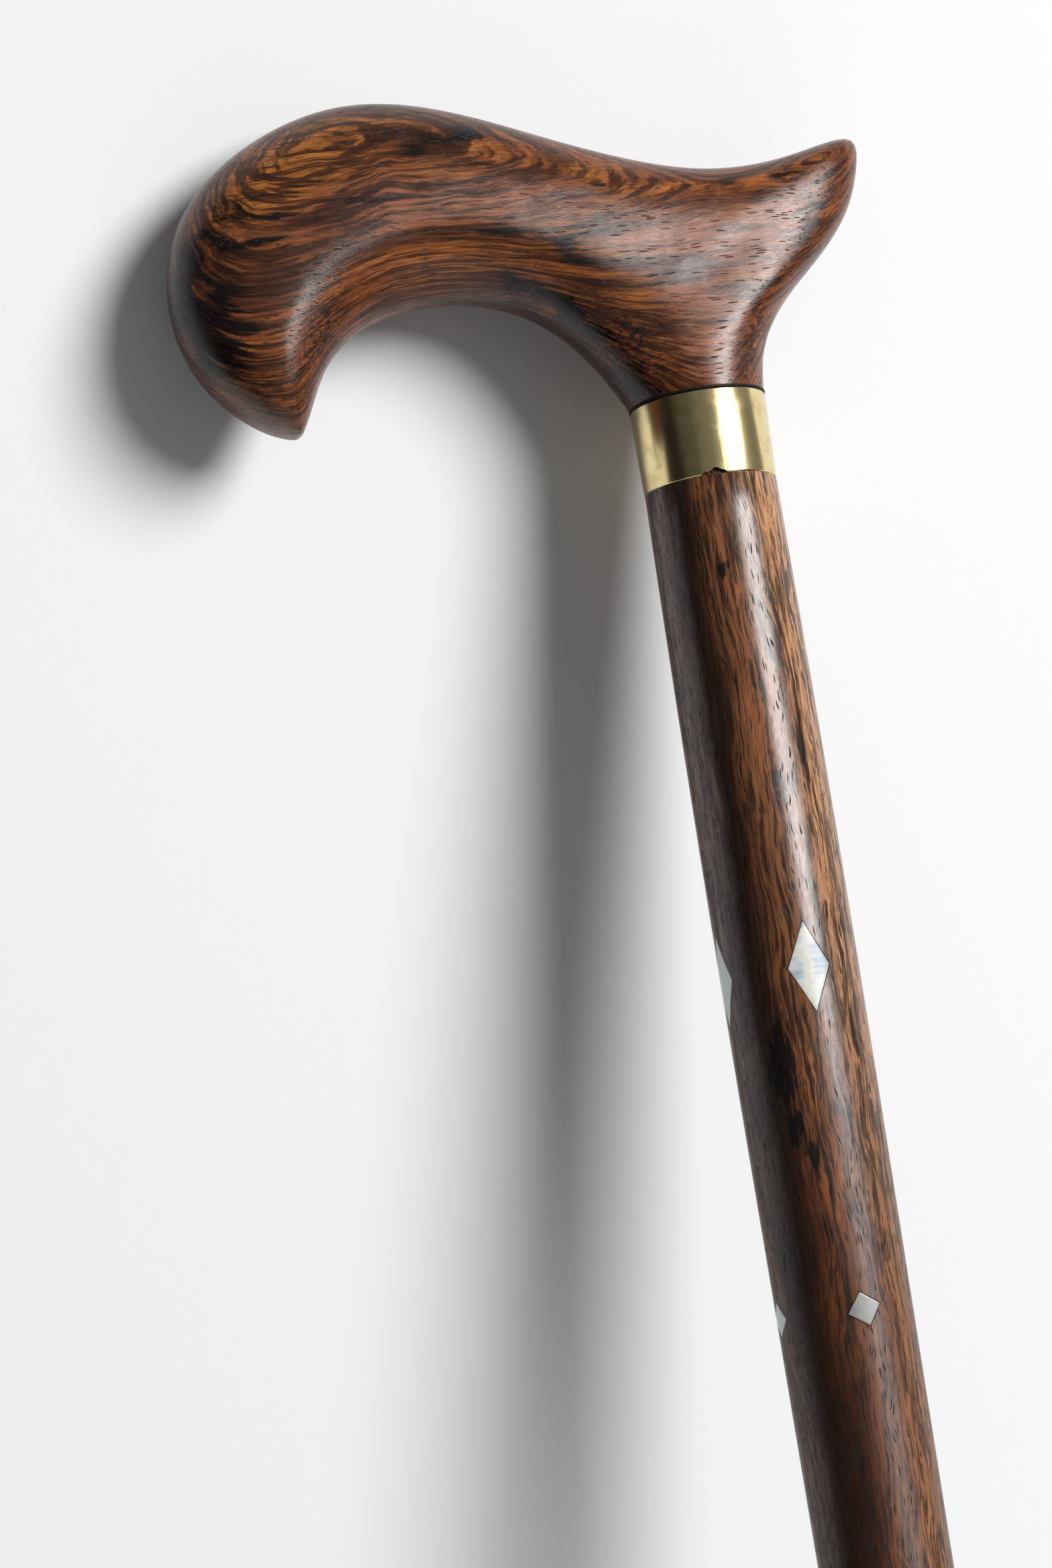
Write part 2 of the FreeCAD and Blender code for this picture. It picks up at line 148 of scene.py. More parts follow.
class Graph:
    """A node tree with short calls for the nodes that the finishes use."""

    def __init__(self, tree: Tree) -> None:
        """Wrap a tree.

        Args:
            tree: The node tree that the calls add to.
        """
        self.tree = tree

    def add(self, kind: str, **settings: object) -> bpy.types.Node:
        """Add a node of a kind and set its properties by name."""
        node = self.tree.nodes.new(kind)
        for name, value in settings.items():
            setattr(node, name, value)
        return node

    def feed(self, socket: bpy.types.NodeSocket, value: object) -> None:
        """Link a field to a node's input, or set the input to a plain number, vector or colour."""
        if isinstance(value, Field):
            self.tree.links.new(value.socket, socket)
        elif socket.type == "RGBA":
            socket.default_value = (*value, 1.0)
        else:
            socket.default_value = value

    def put(self, node: bpy.types.Node, values: dict[int | str, object], output: int | str = 0) -> Field:
        """Feed a node's inputs, by place or name.

        Args:
            node: The node.
            values: What each input gets.
            output: The place or name of the output that is wanted.

        Returns:
            That output.
        """
        for name, value in values.items():
            self.feed(node.inputs[name], value)
        return Field(self, node.outputs[output])

    def math(self, operation: str, first: object, second: object, clamp: bool = False) -> Field:
        """Combine two numbers."""
        node = self.add("ShaderNodeMath", operation=operation, use_clamp=clamp)
        return self.put(node, {0: first, 1: second})

    def vector(self, operation: str, first: object, second: object) -> Field:
        """Combine two vectors, or a vector and the factor that scales it."""
        node = self.add("ShaderNodeVectorMath", operation=operation)
        output = "Value" if operation in ("DISTANCE", "DOT_PRODUCT") else "Vector"
        return self.put(node, {0: first, "Scale" if operation == "SCALE" else 1: second}, output)

    def split(self, vector: Field) -> tuple[Field, ...]:
        """Return a vector's X, Y and Z."""
        node = self.add("ShaderNodeSeparateXYZ")
        self.feed(node.inputs[0], vector)
        return tuple(Field(self, output) for output in node.outputs)

    def join(self, across: object, depth: object, up: object) -> Field:
        """Make a vector of three numbers."""
        return self.put(self.add("ShaderNodeCombineXYZ"), {0: across, 1: depth, 2: up})

    def noise(self, place: Field, pitch: object, detail: float = 2.0, rough: float = 0.5, bend: float = 0.0,
              colour: bool = False) -> Field:
        """Add a noise texture.

        Args:
            place: Where it is read.
            pitch: How many of its swells go into a millimetre, one number or one for each axis.
            detail: How many finer layers it has.
            rough: How strong these are.
            bend: How far it is distorted.
            colour: Whether its three colours are wanted and not its grey.

        Returns:
            The noise.
        """
        if isinstance(pitch, tuple):
            place, pitch = place * pitch, 1.0
        return self.put(self.add("ShaderNodeTexNoise"), {
            "Vector": place, "Scale": pitch, "Detail": detail, "Roughness": rough, "Distortion": bend,
        }, "Color" if colour else "Fac")

    def ramp(self, value: Field, stops: Sequence[tuple[float, Triple]]) -> Field:
        """Colour a number by a ramp of (place, colour) stops."""
        node = self.add("ShaderNodeValToRGB")
        elements = node.color_ramp.elements
        while len(elements) < len(stops):
            elements.new(0.5)
        for element, (place, colour) in zip(elements, stops):
            element.position = place
            element.color = (*colour, 1.0)
        return self.put(node, {0: value}, "Color")

    def mix(self, share: object, first: object, second: object, blend: str = "MIX") -> Field:
        """Mix two colours."""
        node = self.add("ShaderNodeMix", data_type="RGBA", blend_type=blend)
        return self.put(node, {"Factor": share, 6: first, 7: second}, 2)

    def layers(self, colour: Field, *layers: tuple[Field, Triple]) -> Field:
        """Lay (share, colour) layers over a colour, one after the other."""
        for share, over in layers:
            colour = self.mix(share, colour, over)
        return colour

    def group(self, tree: Tree, **values: object) -> dict[str, Field]:
        """Place a shader node group.

        Args:
            tree: The group.
            values: Its inputs by name, with underscores for spaces.

        Returns:
            Its outputs by name.
        """
        node = self.add("ShaderNodeGroup", node_tree=tree)
        for name, value in values.items():
            self.feed(node.inputs[name.replace("_", " ")], value)
        return {output.name: Field(self, output) for output in node.outputs}

    def bump(self, height: Field, depth: float, strength: float = 1.0, under: Field | None = None) -> Field:
        """Turn a height, its depth in millimetres, into a normal, on top of another if one is given."""
        values = {"Height": height, "Distance": depth * MM, "Strength": strength}
        if under is not None:
            values["Normal"] = under
        return self.put(self.add("ShaderNodeBump"), values, "Normal")


class EffectGroup(Graph):
    """A shader node group that puts out masks over the surface."""

    def __init__(self, name: str, inputs: dict[str, float | None], outputs: Sequence[str]) -> None:
        """Make the group and its sockets.

        Args:
            name: The group's name.
            inputs: Inputs with their starting number, or None for a vector.
            outputs: Names of the grey outputs.
        """
        super().__init__(bpy.data.node_groups.new(name, "ShaderNodeTree"))
        for label, number in inputs.items():
            kind = "NodeSocketVector" if number is None else "NodeSocketFloat"
            socket = self.tree.interface.new_socket(label, in_out="INPUT", socket_type=kind)
            if number is not None:
                socket.default_value = number
        for label in outputs:
            self.tree.interface.new_socket(label, in_out="OUTPUT", socket_type="NodeSocketFloat")
        self.source = {socket.name: Field(self, socket) for socket in self.add("NodeGroupInput").outputs}
        self.sink = self.add("NodeGroupOutput").inputs


def pore_group() -> Tree:
    """Make open pores: short dark dashes along the grain, in cells that the noise picks.

    Returns:
        A group whose vector has the grain along X, one unit per cell.
    """
    effect = EffectGroup("open_pores", {"Grain": None, "Share": 0.5, "Width": 0.2}, ("Mask",))
    width = effect.source["Width"]
    cells = effect.add("ShaderNodeTexVoronoi", feature="F1")
    distance = effect.put(cells, {"Vector": effect.source["Grain"], "Scale": 1.0}, "Distance")
    pick_of_cell = effect.split(Field(effect, cells.outputs["Color"]))[0]
    chosen = effect.math("LESS_THAN", pick_of_cell, effect.source["Share"])
    effect.feed(effect.sink["Mask"], distance.remap(width * 0.55, width, 1.0, 0.0) * chosen)
    return effect.tree


def fibre_group() -> Tree:
    """Make fibres: two layers of noise stretched along the grain.

    Returns:
        A group whose vector is in millimetres with the grain along X.
    """
    effect = EffectGroup("wood_fibres", {"Grain": None, "Length": 12.0, "Width": 0.5}, ("Coarse", "Fine"))
    for name, factor, detail in (("Coarse", 1.0, 3.0), ("Fine", 3.2, 2.0)):
        stretch = effect.math("DIVIDE", factor, effect.source["Length"])
        pack = effect.math("DIVIDE", factor, effect.source["Width"])
        place = effect.source["Grain"] * effect.join(stretch, pack, pack)
        effect.feed(effect.sink[name], effect.noise(place, 1.0, detail, 0.6))
    return effect.tree


def zone_group() -> Tree:
    """Make a soft oval zone: one in its middle, zero at its rim.

    Returns:
        A group whose vector, centre and size are in millimetres, with a lean about Y in radians.
    """
    effect = EffectGroup("soft_zone", {"Place": None, "Centre": None, "Size": None, "Lean": 0.0}, ("Mask",))
    place, centre, size, lean = (effect.source[name] for name in ("Place", "Centre", "Size", "Lean"))
    turned = effect.put(effect.add("ShaderNodeVectorRotate", rotation_type="Y_AXIS"),
                        {"Vector": place - centre, "Angle": lean})
    far = effect.vector("DISTANCE", turned / size, (0.0, 0.0, 0.0))
    effect.feed(effect.sink["Mask"], far.remap(0.25, 1.0, 1.0, 0.0))
    return effect.tree


def wear_group() -> Tree:
    """Make signs of handling: soft clouds of tarnish, and fine scratches that run round a turned piece.

    Returns:
        A group whose vector is in millimetres.
    """
    inputs = {"Place": None, "Cloud Size": 5.0, "Scratch Pitch": 0.15}
    effect = EffectGroup("handling_wear", inputs, ("Cloud", "Scratch"))
    place, size, pitch = (effect.source[name] for name in inputs)
    near = effect.math("DIVIDE", 1.0, size)
    effect.feed(effect.sink["Cloud"], effect.noise(place, near, 4.0, 0.6, bend=0.4))
    across, depth, up = effect.split(place)
    lined = effect.join(across * 0.18, depth * 0.18, up / pitch)
    effect.feed(effect.sink["Scratch"], effect.noise(lined, 1.0, 2.0, 0.7))
    return effect.tree


@dataclass(frozen=True)
class Effects:
    """The shader node groups that the finishes share."""

    fibres: Tree
    pores: Tree
    zone: Tree
    wear: Tree


class Surface(Graph):
    """The node tree of a new material, with its shader and the piece's own coordinates in millimetres."""

    def __init__(self, name: str, **numbers: float) -> None:
        """Make the material.

        Args:
            name: Its name.
            numbers: Uniform numbers of the shader by name, with underscores for spaces.
        """
        self.material = bpy.data.materials.new(name)
        self.material.use_nodes = True
        super().__init__(self.material.node_tree)
        self.shader = self.tree.nodes["Principled BSDF"]
        for label, number in numbers.items():
            self.wire(label.replace("_", " "), number)
        coordinates = self.add("ShaderNodeTexCoord").outputs["Object"]
        self.place = self.vector("SCALE", Field(self, coordinates), 1.0 / MM)

    def wire(self, name: str, value: object) -> None:
        """Feed an input of the shader."""
        self.feed(self.shader.inputs[name], value)


@dataclass(frozen=True)
class Finish:
    """Uniform numbers of a surface, set on the shader's own sockets."""

    roughness: float
    metallic: float = 0.0
    ior: float = 1.5
    coat: float = 0.0
    coat_roughness: float = 0.1

    def build(self, name: str, effects: Effects) -> Material:
        """Make the material.

        Args:
            name: Its name.
            effects: The node groups that the finishes share.

        Returns:
            The material.
        """
        surface = Surface(name, Roughness=self.roughness, Metallic=self.metallic, IOR=self.ior,
                          Coat_Weight=self.coat, Coat_Roughness=self.coat_roughness)
        self.paint(surface, effects)
        return surface.material

    def paint(self, surface: Surface, effects: Effects) -> None:
        """Add what changes over the surface."""
        raise NotImplementedError


@dataclass(frozen=True)
class Zone:
    """A soft oval zone of a wood's figure, in millimetres, with its lean in degrees (up to the right)."""

    across: float
    up: float
    half_width: float
    half_height: float
    lean: float = 0.0
    weight: float = 1.0
    depth: float = 0.0
    half_depth: float = 60.0


class Zones:
    """Soft zones at one bent place, summed into masks."""

    def __init__(self, graph: Graph, group: Tree, place: Field) -> None:
        """Keep what every mask needs.

        Args:
            graph: The material's graph.
            group: The group of a soft oval zone.
            place: The place in millimetres, bent a little so that no rim is a clean oval.
        """
        self.graph = graph
        self.group = group
        self.place = place

    def mask(self, zones: Sequence[Zone]) -> Field:
        """Return the sum of some zones, no more than one."""
        total: object = 0.0
        for zone in zones:
            mask = self.graph.group(
                self.group, Place=self.place, Centre=(zone.across, zone.depth, zone.up),
                Size=(zone.half_width, zone.half_depth, zone.half_height), Lean=math.radians(zone.lean),
            )["Mask"]
            total = self.graph.math("ADD", total, mask * zone.weight, clamp=True)
        return total


@dataclass(frozen=True)
class Wood(Finish):
    """Dark oiled wood: fibres and open pores over a figure that each wood draws. Lengths in millimetres."""

    black: Triple = (0.0, 0.0, 0.0)
    umber: Triple = (0.0, 0.0, 0.0)
    fibre_length: float = 6.0
    fibre_width: float = 0.5
    pore_pitch: Triple = (0.2, 2.3, 2.3)
    pore_share: float = 0.7
    pore_width: float = 0.27
    pore_matt: float = 0.4
    matt_spread: float = 0.06
    facet_pitch: float = 0.09
    facet_depth: float = 0.22
    fine_depth: float = 0.06
    fine_strength: float = 0.8

    def fibres(self, surface: Surface, effects: Effects, grain: Field) -> dict[str, Field]:
        """Return the coarse and the fine fibres along a grain."""
        return surface.group(effects.fibres, Grain=grain, Length=self.fibre_length, Width=self.fibre_width)

    def drift(self, surface: Surface, pitch: Triple, detail: float, reach: Triple) -> Field:
        """Return a soft random shift that reaches some millimetres along each axis."""
        noise = surface.noise(surface.place, pitch, detail, 0.65, colour=True)
        return (noise - (0.5, 0.5, 0.5)) * reach

    def shade(self, surface: Surface, colour: Field, fibre: Field) -> Field:
        """Make a colour lighter and darker from fibre to fibre."""
        level = fibre.remap(0.3, 0.7, 0.6, 1.4, smooth=False)
        return surface.mix(1.0, colour, surface.join(level, level, level), "MULTIPLY")

    def polish(self, surface: Surface, effects: Effects, colour: Field, fibre: Field, grain: Field,
               matt: Field) -> None:
        """Sink the pores into the coloured wood, and set how polished and how even it is.

        Args:
            surface: The material's graph.
            effects: The node groups that the finishes share.
            colour: The figure's colour.
            fibre: The fine fibres.
            grain: The place that the pores are read at, in millimetres with the grain along X.
            matt: What is added to the roughness.
        """
        pore = surface.group(effects.pores, Grain=grain * self.pore_pitch, Share=self.pore_share,
                             Width=self.pore_width)["Mask"]
        surface.wire("Base Color", surface.mix(pore * 0.9, colour, self.black))
        rough = fibre.remap(0.3, 0.7, self.roughness - 0.05, self.roughness + self.matt_spread)
        surface.wire("Roughness", rough + matt + pore * self.pore_matt)
        facets = surface.bump(surface.noise(surface.place, self.facet_pitch), self.facet_depth)
        fine = surface.bump(fibre * 0.6 - pore, self.fine_depth, self.fine_strength, facets)
        surface.wire("Normal", fine)


@dataclass(frozen=True)
class HandleWood(Wood):
    """Dark figured wood: growth lines that close in arcs at the beak, dark streaks and open pores, with some
    painted shade and a painted sheen among its zones.
    """

    black: Triple = (0.0040, 0.0026, 0.0024)
    umber: Triple = (0.028, 0.0092, 0.0046)
    brown: Triple = (0.088, 0.024, 0.0080)
    orange: Triple = (0.235, 0.069, 0.017)
    golden: Triple = (0.320, 0.110, 0.022)
    violet: Triple = (0.225, 0.078, 0.036)
    rosy: Triple = (0.265, 0.102, 0.055)
    # A grey-blue painted sheen, laid into the colour.
    painted_sheen_grey: Triple = (0.105, 0.083, 0.087)
    rust: Triple = (0.175, 0.050, 0.016)
    amber: Triple = (0.310, 0.100, 0.024)

    # Where the palm's eye ends, across, and how much steeper the sheets stand past it.
    palm_end: float = -54.0
    palm_tilt: float = 0.13
    sheet_tilt: float = 0.45

    GOLDEN = (
        Zone(-68.0, 905.5, 22.0, 9.0, 6.0, 1.0), Zone(-76.0, 899.0, 15.0, 5.0, 2.0, 0.9),
        Zone(-58.0, 911.5, 16.0, 4.5, 4.0, 0.8), Zone(-47.0, 901.5, 13.0, 3.5, 4.0, 0.5),
    )
    VIOLET = (
        Zone(-52.0, 898.5, 20.0, 5.0, 4.0, 0.8), Zone(-40.0, 895.0, 24.0, 7.0, 0.0, 0.8),
        Zone(-74.0, 892.5, 14.0, 2.5, -4.0, 0.7),
    )
    ROSY = (
        Zone(-24.0, 895.0, 20.0, 6.0, -6.0, 0.7), Zone(0.0, 886.5, 19.0, 11.0, 0.0, 1.0),
        Zone(1.0, 870.0, 9.0, 18.0, 0.0, 1.0), Zone(17.0, 890.0, 13.0, 7.0, 30.0, 0.9),
    )
    # The wood's dark figure. The zones down the neck's left edge, from about (-23.5, 886) to (-13.8, 861),
    # and the broad ones over the beak's outer left side are partly painted shade on those sides.
    DARK = (
        Zone(-59.0, 901.8, 7.0, 1.6, 28.0, 0.5), Zone(-49.0, 906.6, 9.0, 2.4, 26.0, 0.6),
        Zone(-38.0, 908.4, 10.0, 2.4, 4.0, 0.6), Zone(-74.0, 908.0, 6.0, 1.5, 10.0, 0.6),
        Zone(-81.0, 898.8, 2.2, 3.4, 20.0, 0.9), Zone(-75.0, 896.2, 9.0, 1.3, -4.0, 1.0),
        Zone(-61.0, 897.4, 12.0, 1.1, 2.0, 0.7), Zone(-85.5, 894.0, 2.6, 4.4, 30.0, 0.9),
        Zone(-78.0, 891.4, 9.0, 1.5, 3.0, 1.0), Zone(-84.5, 885.0, 6.0, 9.0, 10.0, 0.45),
        Zone(-86.5, 876.5, 8.0, 11.0, 14.0, 1.2), Zone(-91.0, 888.0, 5.0, 15.0, 0.0, 1.3),
        Zone(-46.0, 894.9, 9.0, 1.7, 0.0, 0.9), Zone(-33.0, 890.4, 9.0, 2.4, -6.0, 0.9),
        Zone(-23.5, 886.0, 8.0, 4.2, -45.0, 0.9), Zone(-31.0, 881.5, 9.0, 3.2, -24.0, 1.0),
        Zone(-22.0, 873.5, 11.0, 3.6, -50.0, 1.3), Zone(-13.8, 861.0, 11.0, 3.2, -66.0, 1.4),
        Zone(-14.0, 897.2, 5.0, 1.4, -20.0, 0.7), Zone(21.0, 896.6, 8.0, 1.2, 12.0, 0.9),
        Zone(10.5, 874.5, 13.0, 1.3, 60.0, 0.9), Zone(24.0, 889.8, 9.0, 1.2, 48.0, 0.9),
    )
    # Where a grey-blue painted sheen lies: a dull reflection painted on the neck, along the palm's ridge and
    # by the arch.
    PAINTED_SHEEN = (
        Zone(-2.0, 880.0, 9.0, 3.6, 0.0, 1.0), Zone(-21.0, 895.2, 11.0, 1.8, -4.0, 0.9),
        Zone(-62.0, 888.5, 7.0, 2.6, 30.0, 0.6), Zone(-36.0, 880.5, 12.0, 3.0, -10.0, 0.7),
    )
    AMBER = (
        Zone(-34.0, 905.2, 12.0, 2.8, -18.0, 0.9), Zone(-17.0, 899.4, 13.0, 2.4, -16.0, 1.0),
        Zone(0.0, 895.9, 14.0, 2.1, -4.0, 1.0), Zone(16.0, 896.0, 11.0, 2.0, 4.0, 1.0),
        Zone(-11.5, 882.5, 7.0, 5.0, 0.0, 1.0), Zone(-9.5, 872.0, 4.5, 10.0, 8.0, 1.0),
        Zone(-46.0, 886.5, 20.0, 3.4, 0.0, 0.8), Zone(-70.0, 883.0, 9.0, 8.0, 0.0, 0.6),
        Zone(-77.0, 863.0, 8.0, 6.0, 0.0, 0.7),
    )
    SPECKLED = (
        Zone(-14.0, 870.0, 16.0, 4.4, -60.0, 1.0), Zone(-69.0, 875.5, 12.0, 5.0, 52.0, 1.0),
        Zone(-77.0, 864.5, 8.0, 7.0, 0.0, 0.8), Zone(22.5, 886.5, 19.0, 3.6, 50.0, 1.0),
        Zone(9.8, 867.0, 13.0, 3.4, 70.0, 1.0), Zone(-88.0, 884.0, 5.0, 15.0, 0.0, 0.6),
    )

    def figure(self, surface: Surface) -> tuple[Field, Field]:
        """Return the place that the growth lines follow, and the plain place along the bent grain.

        The blank was sawn flat: growth sheets lie with its sides, tilted a little, so the carving cuts them
        like contours, in arcs round the beak and in lines along the arch.
        """
        across, depth, up = surface.split(surface.place)
        sway = surface.noise(surface.place, (0.018, 0.035, 0.05), 3.0, 0.55)
        wobble = surface.noise(surface.place, (0.11, 0.16, 0.30))
        level = up + across * 0.02 + (sway - 0.5) * 5.0 + (wobble - 0.5) * 1.5
        past_palm = surface.math("MINIMUM", across - self.palm_end, 0.0)
        sheet = depth - level * self.sheet_tilt + past_palm * self.palm_tilt
        return surface.join(across, level, sheet), surface.join(across, depth, level)

    def paint(self, surface: Surface, effects: Effects) -> None:
        """Add the figure, its zones with a grey-blue painted sheen and some painted shade among them, the
        pores and the polish.
        """
        sheets, grain = self.figure(surface)
        bands = surface.noise(sheets, (0.014, 0.02, 0.19), 3.0, 0.6)
        streaks = surface.noise(sheets, (0.03, 0.06, 0.6), 4.0, 0.62)
        lines = surface.noise(sheets, (0.045, 0.08, 1.5), 4.0, 0.6)
        threads = surface.noise(sheets, (0.08, 0.2, 3.0), 3.0, 0.55)
        bundles = surface.noise(grain, (0.05, 0.2, 1.25), 4.0, 0.62)
        flecks = surface.noise(surface.place, (0.36, 1.35, 1.35), 2.0, 0.55, bend=0.6)
        fibre = self.fibres(surface, effects, sheets)

        # Zones are shifted along the grain from line to line, so their rims end in flames.
        shift = self.drift(surface, (0.05, 0.12, 0.22), 4.0, (14.0, 0.0, 7.0))
        flame = surface.join((lines - 0.5) * 14.0, 0.0, 0.0)
        zones = Zones(surface, effects.zone, surface.place + shift + flame)
        palm, rosy, speckled = (zones.mask(table) for table in (self.GOLDEN, self.ROSY, self.SPECKLED))
        tone = streaks * 0.55 + threads * 0.45
        amber = zones.mask(self.AMBER) * tone.remap(0.40, 0.52, 0.35, 1.0)

        # Warm and violet zones first, with a grey-blue painted sheen among them, then dark growth bands and
        # two sets of dark lines, weaker in the rosy middle. In the palm, where a sheet lies open, fine darker
        # fibre bundles run across it.
        calm = (rosy - amber).remap(0.0, 1.0, 1.0, 0.5, smooth=False)
        colour = surface.layers(
            surface.mix(tone.remap(0.43, 0.58), self.brown, self.orange),
            (palm * tone.remap(0.38, 0.52, 0.3, 1.0), self.golden),
            (zones.mask(self.VIOLET) * 0.75, self.violet),
            (rosy * 0.85, self.rosy),
            (zones.mask(self.PAINTED_SHEEN) * 0.8, self.painted_sheen_grey),
            (amber, self.amber),
            (speckled * 0.9, self.rust),
            (bands.remap(0.52, 0.60, 0.0, 0.55) * calm, self.umber),
            (lines.remap(0.49, 0.41, 0.0, 0.80) * calm, self.umber),
            (threads.remap(0.49, 0.40, 0.0, 0.82) * calm, self.umber),
            (palm * bundles.remap(0.50, 0.40, 0.0, 0.9), self.umber),
        )
        # The dark zones include painted shade along the neck's left edge and over the beak's outer left side.
        ink = zones.mask(self.DARK) + (streaks + lines - 1.0) * -1.9
        colour = surface.layers(
            self.shade(surface, colour, fibre["Coarse"]),
            (ink.remap(0.30, 1.0, 0.0, 0.96), self.black),
            (speckled * flecks.remap(0.52, 0.43) * 0.8, self.black),
        )
        # The speckled wood is end grain, which takes less polish.
        self.polish(surface, effects, colour, fibre["Fine"], grain, speckled * 0.14)


@dataclass(frozen=True)
class ShaftWood(Wood):
    """Dark straight-grained wood with long open pores, in bands of several browns side by side, with painted
    light and shade over them across and down the shaft.
    """

    black: Triple = (0.0045, 0.0032, 0.0030)
    umber: Triple = (0.026, 0.0100, 0.0056)
    orange: Triple = (0.290, 0.098, 0.034)
    # Pale painted light for the lit right side, and below it a tint that paints the light's fall-off down the
    # shaft.
    pale: Triple = (0.420, 0.205, 0.095)
    painted_falloff_tint: Triple = (0.74, 0.57, 0.42)
    fibre_length: float = 7.0
    fibre_width: float = 0.45
    pore_pitch: Triple = (0.22, 2.7, 2.7)
    pore_share: float = 0.8
    pore_width: float = 0.30
    pore_matt: float = 0.45
    matt_spread: float = 0.07
    facet_pitch: float = 0.11
    facet_depth: float = 0.15
    fine_depth: float = 0.02
    fine_strength: float = 0.6

    # Colours across the shaft from left to right. They hold the wood's bands and painted light: the pale
    # grey-rose left rim is a painted reflection, and the light band about 0.70 is the flank of a painted
    # highlight.
    BANDS_AND_PAINTED_LIGHT = (
        (0.00, (0.205, 0.118, 0.094)), (0.05, (0.190, 0.110, 0.088)), (0.10, (0.070, 0.042, 0.034)),
        (0.15, (0.018, 0.011, 0.009)), (0.21, (0.055, 0.021, 0.010)), (0.27, (0.150, 0.055, 0.022)),
        (0.35, (0.185, 0.070, 0.027)), (0.50, (0.200, 0.078, 0.032)), (0.60, (0.185, 0.092, 0.056)),
        (0.70, (0.330, 0.172, 0.095)), (0.90, (0.235, 0.126, 0.062)), (1.00, (0.130, 0.066, 0.040)),
    )
    DARK = (
        Zone(-7.0, 738.0, 3.0, 9.0, 0.0, 1.0, -10.0, 12.0),
        Zone(-6.5, 727.0, 2.2, 5.0, 0.0, 1.0, -10.0, 12.0),
        Zone(-4.5, 722.0, 1.6, 4.5, 0.0, 0.9, -10.0, 12.0),
        Zone(-3.6, 709.5, 1.4, 8.0, 0.0, 0.9, -10.0, 12.0),
        Zone(-3.0, 747.0, 1.6, 5.0, 0.0, 0.5, -10.0, 12.0),
        Zone(-3.4, 825.0, 2.0, 2.4, 0.0, 0.9, -12.0, 12.0),
        Zone(-1.6, 806.0, 1.6, 7.0, 0.0, 0.8, -12.0, 12.0),
        Zone(5.0, 793.0, 1.8, 10.0, 0.0, 0.8, -11.0, 12.0),
    )
    ORANGE = (
        Zone(-3.0, 736.0, 4.0, 13.0, 0.0, 1.0, -12.0, 12.0),
        Zone(-1.5, 718.0, 3.4, 8.0, 0.0, 0.7, -12.0, 12.0),
        Zone(-1.5, 800.0, 4.2, 24.0, 0.0, 0.5, -12.0, 12.0),
        Zone(-3.0, 826.0, 3.4, 12.0, 0.0, 0.7, -12.0, 12.0),
    )

    def paint(self, surface: Surface, effects: Effects) -> None:
        """Add the bands with their painted light and shade, the dark and orange zones, the pores and the
        polish.
        """
        across, depth, up = surface.split(surface.place)
        sway = surface.noise(surface.place, (0.05, 0.05, 0.014), 3.0, 0.6)
        ripple = surface.noise(surface.place, (0.22, 0.22, 0.07), 3.0, 0.6)
        sheet = across + (sway - 0.5) * 8.0 + (ripple - 0.5) * 3.0
        grain = surface.join(up, depth, sheet)
        streaks = surface.noise(grain, (0.035, 0.35, 0.5), 4.0, 0.66)
        lines = surface.noise(grain, (0.06, 0.7, 1.2), 4.0, 0.62)
        threads = surface.noise(grain, (0.12, 1.4, 2.6), 2.0, 0.55)
        tone = streaks * 0.5 + threads * 0.5
        fibre = self.fibres(surface, effects, grain)
        shift = self.drift(surface, (0.3, 0.3, 0.06), 3.0, (4.0, 0.0, 12.0))
        zones = Zones(surface, effects.zone, surface.place + shift)

        # Painted light and shade: pale painted light on the lit right side that fades downwards, painted
        # shade on the left towards the foot, and a tint that makes the wood warmer and darker all the way
        # down, painting the light's fall-off.
        shady = sheet.remap(0.0, -4.5) * sheet.remap(-11.0, -9.0)
        colour = surface.layers(
            surface.ramp(sheet.remap(-13.0, 13.0, smooth=False), self.BANDS_AND_PAINTED_LIGHT),
            (sheet.remap(2.6, 6.0) * up.remap(700.0, 790.0) * 0.95, self.pale),
            (shady * up.remap(705.0, 675.0, 0.0, 0.8), self.umber),
        )
        colour = surface.layers(
            surface.mix(up.remap(772.0, 684.0), colour, self.painted_falloff_tint, "MULTIPLY"),
            (zones.mask(self.ORANGE) * 0.85, self.orange),
            (tone.remap(0.50, 0.42, 0.0, 0.7), self.umber),
            (lines.remap(0.48, 0.42, 0.0, 0.8), self.umber),
            (threads.remap(0.46, 0.40, 0.0, 0.7), self.umber),
        )
        ink = zones.mask(self.DARK) + (streaks + lines - 1.0) * -2.4
        colour = surface.layers(
            self.shade(surface, colour, fibre["Coarse"]),
            (ink.remap(0.34, 0.9, 0.0, 0.95), self.black),
        )
        # The polish ends below the large plates.
        self.polish(surface, effects, colour, fibre["Fine"], grain, up.remap(762.0, 715.0, 0.0, 0.13))


@dataclass(frozen=True)
class Brass(Finish):
    """Polished brass: tarnished in faint clouds, finely scratched round the axis."""

    bright: Triple = (0.82, 0.68, 0.35)
    tarnished: Triple = (0.66, 0.52, 0.25)

    def paint(self, surface: Surface, effects: Effects) -> None:
        """Add the tarnish and the scratches."""
        used = surface.group(effects.wear, Place=surface.place, Cloud_Size=3.5, Scratch_Pitch=0.12)
        cloud = used["Cloud"].remap(0.42, 0.68)
        surface.wire("Base Color", surface.mix(cloud, self.bright, self.tarnished))
        surface.wire("Roughness", cloud.remap(0.0, 1.0, self.roughness, self.roughness + 0.06))
        soft = surface.bump(used["Cloud"], 0.003)
        surface.wire("Normal", surface.bump(used["Scratch"], 0.002, 1.0, soft))


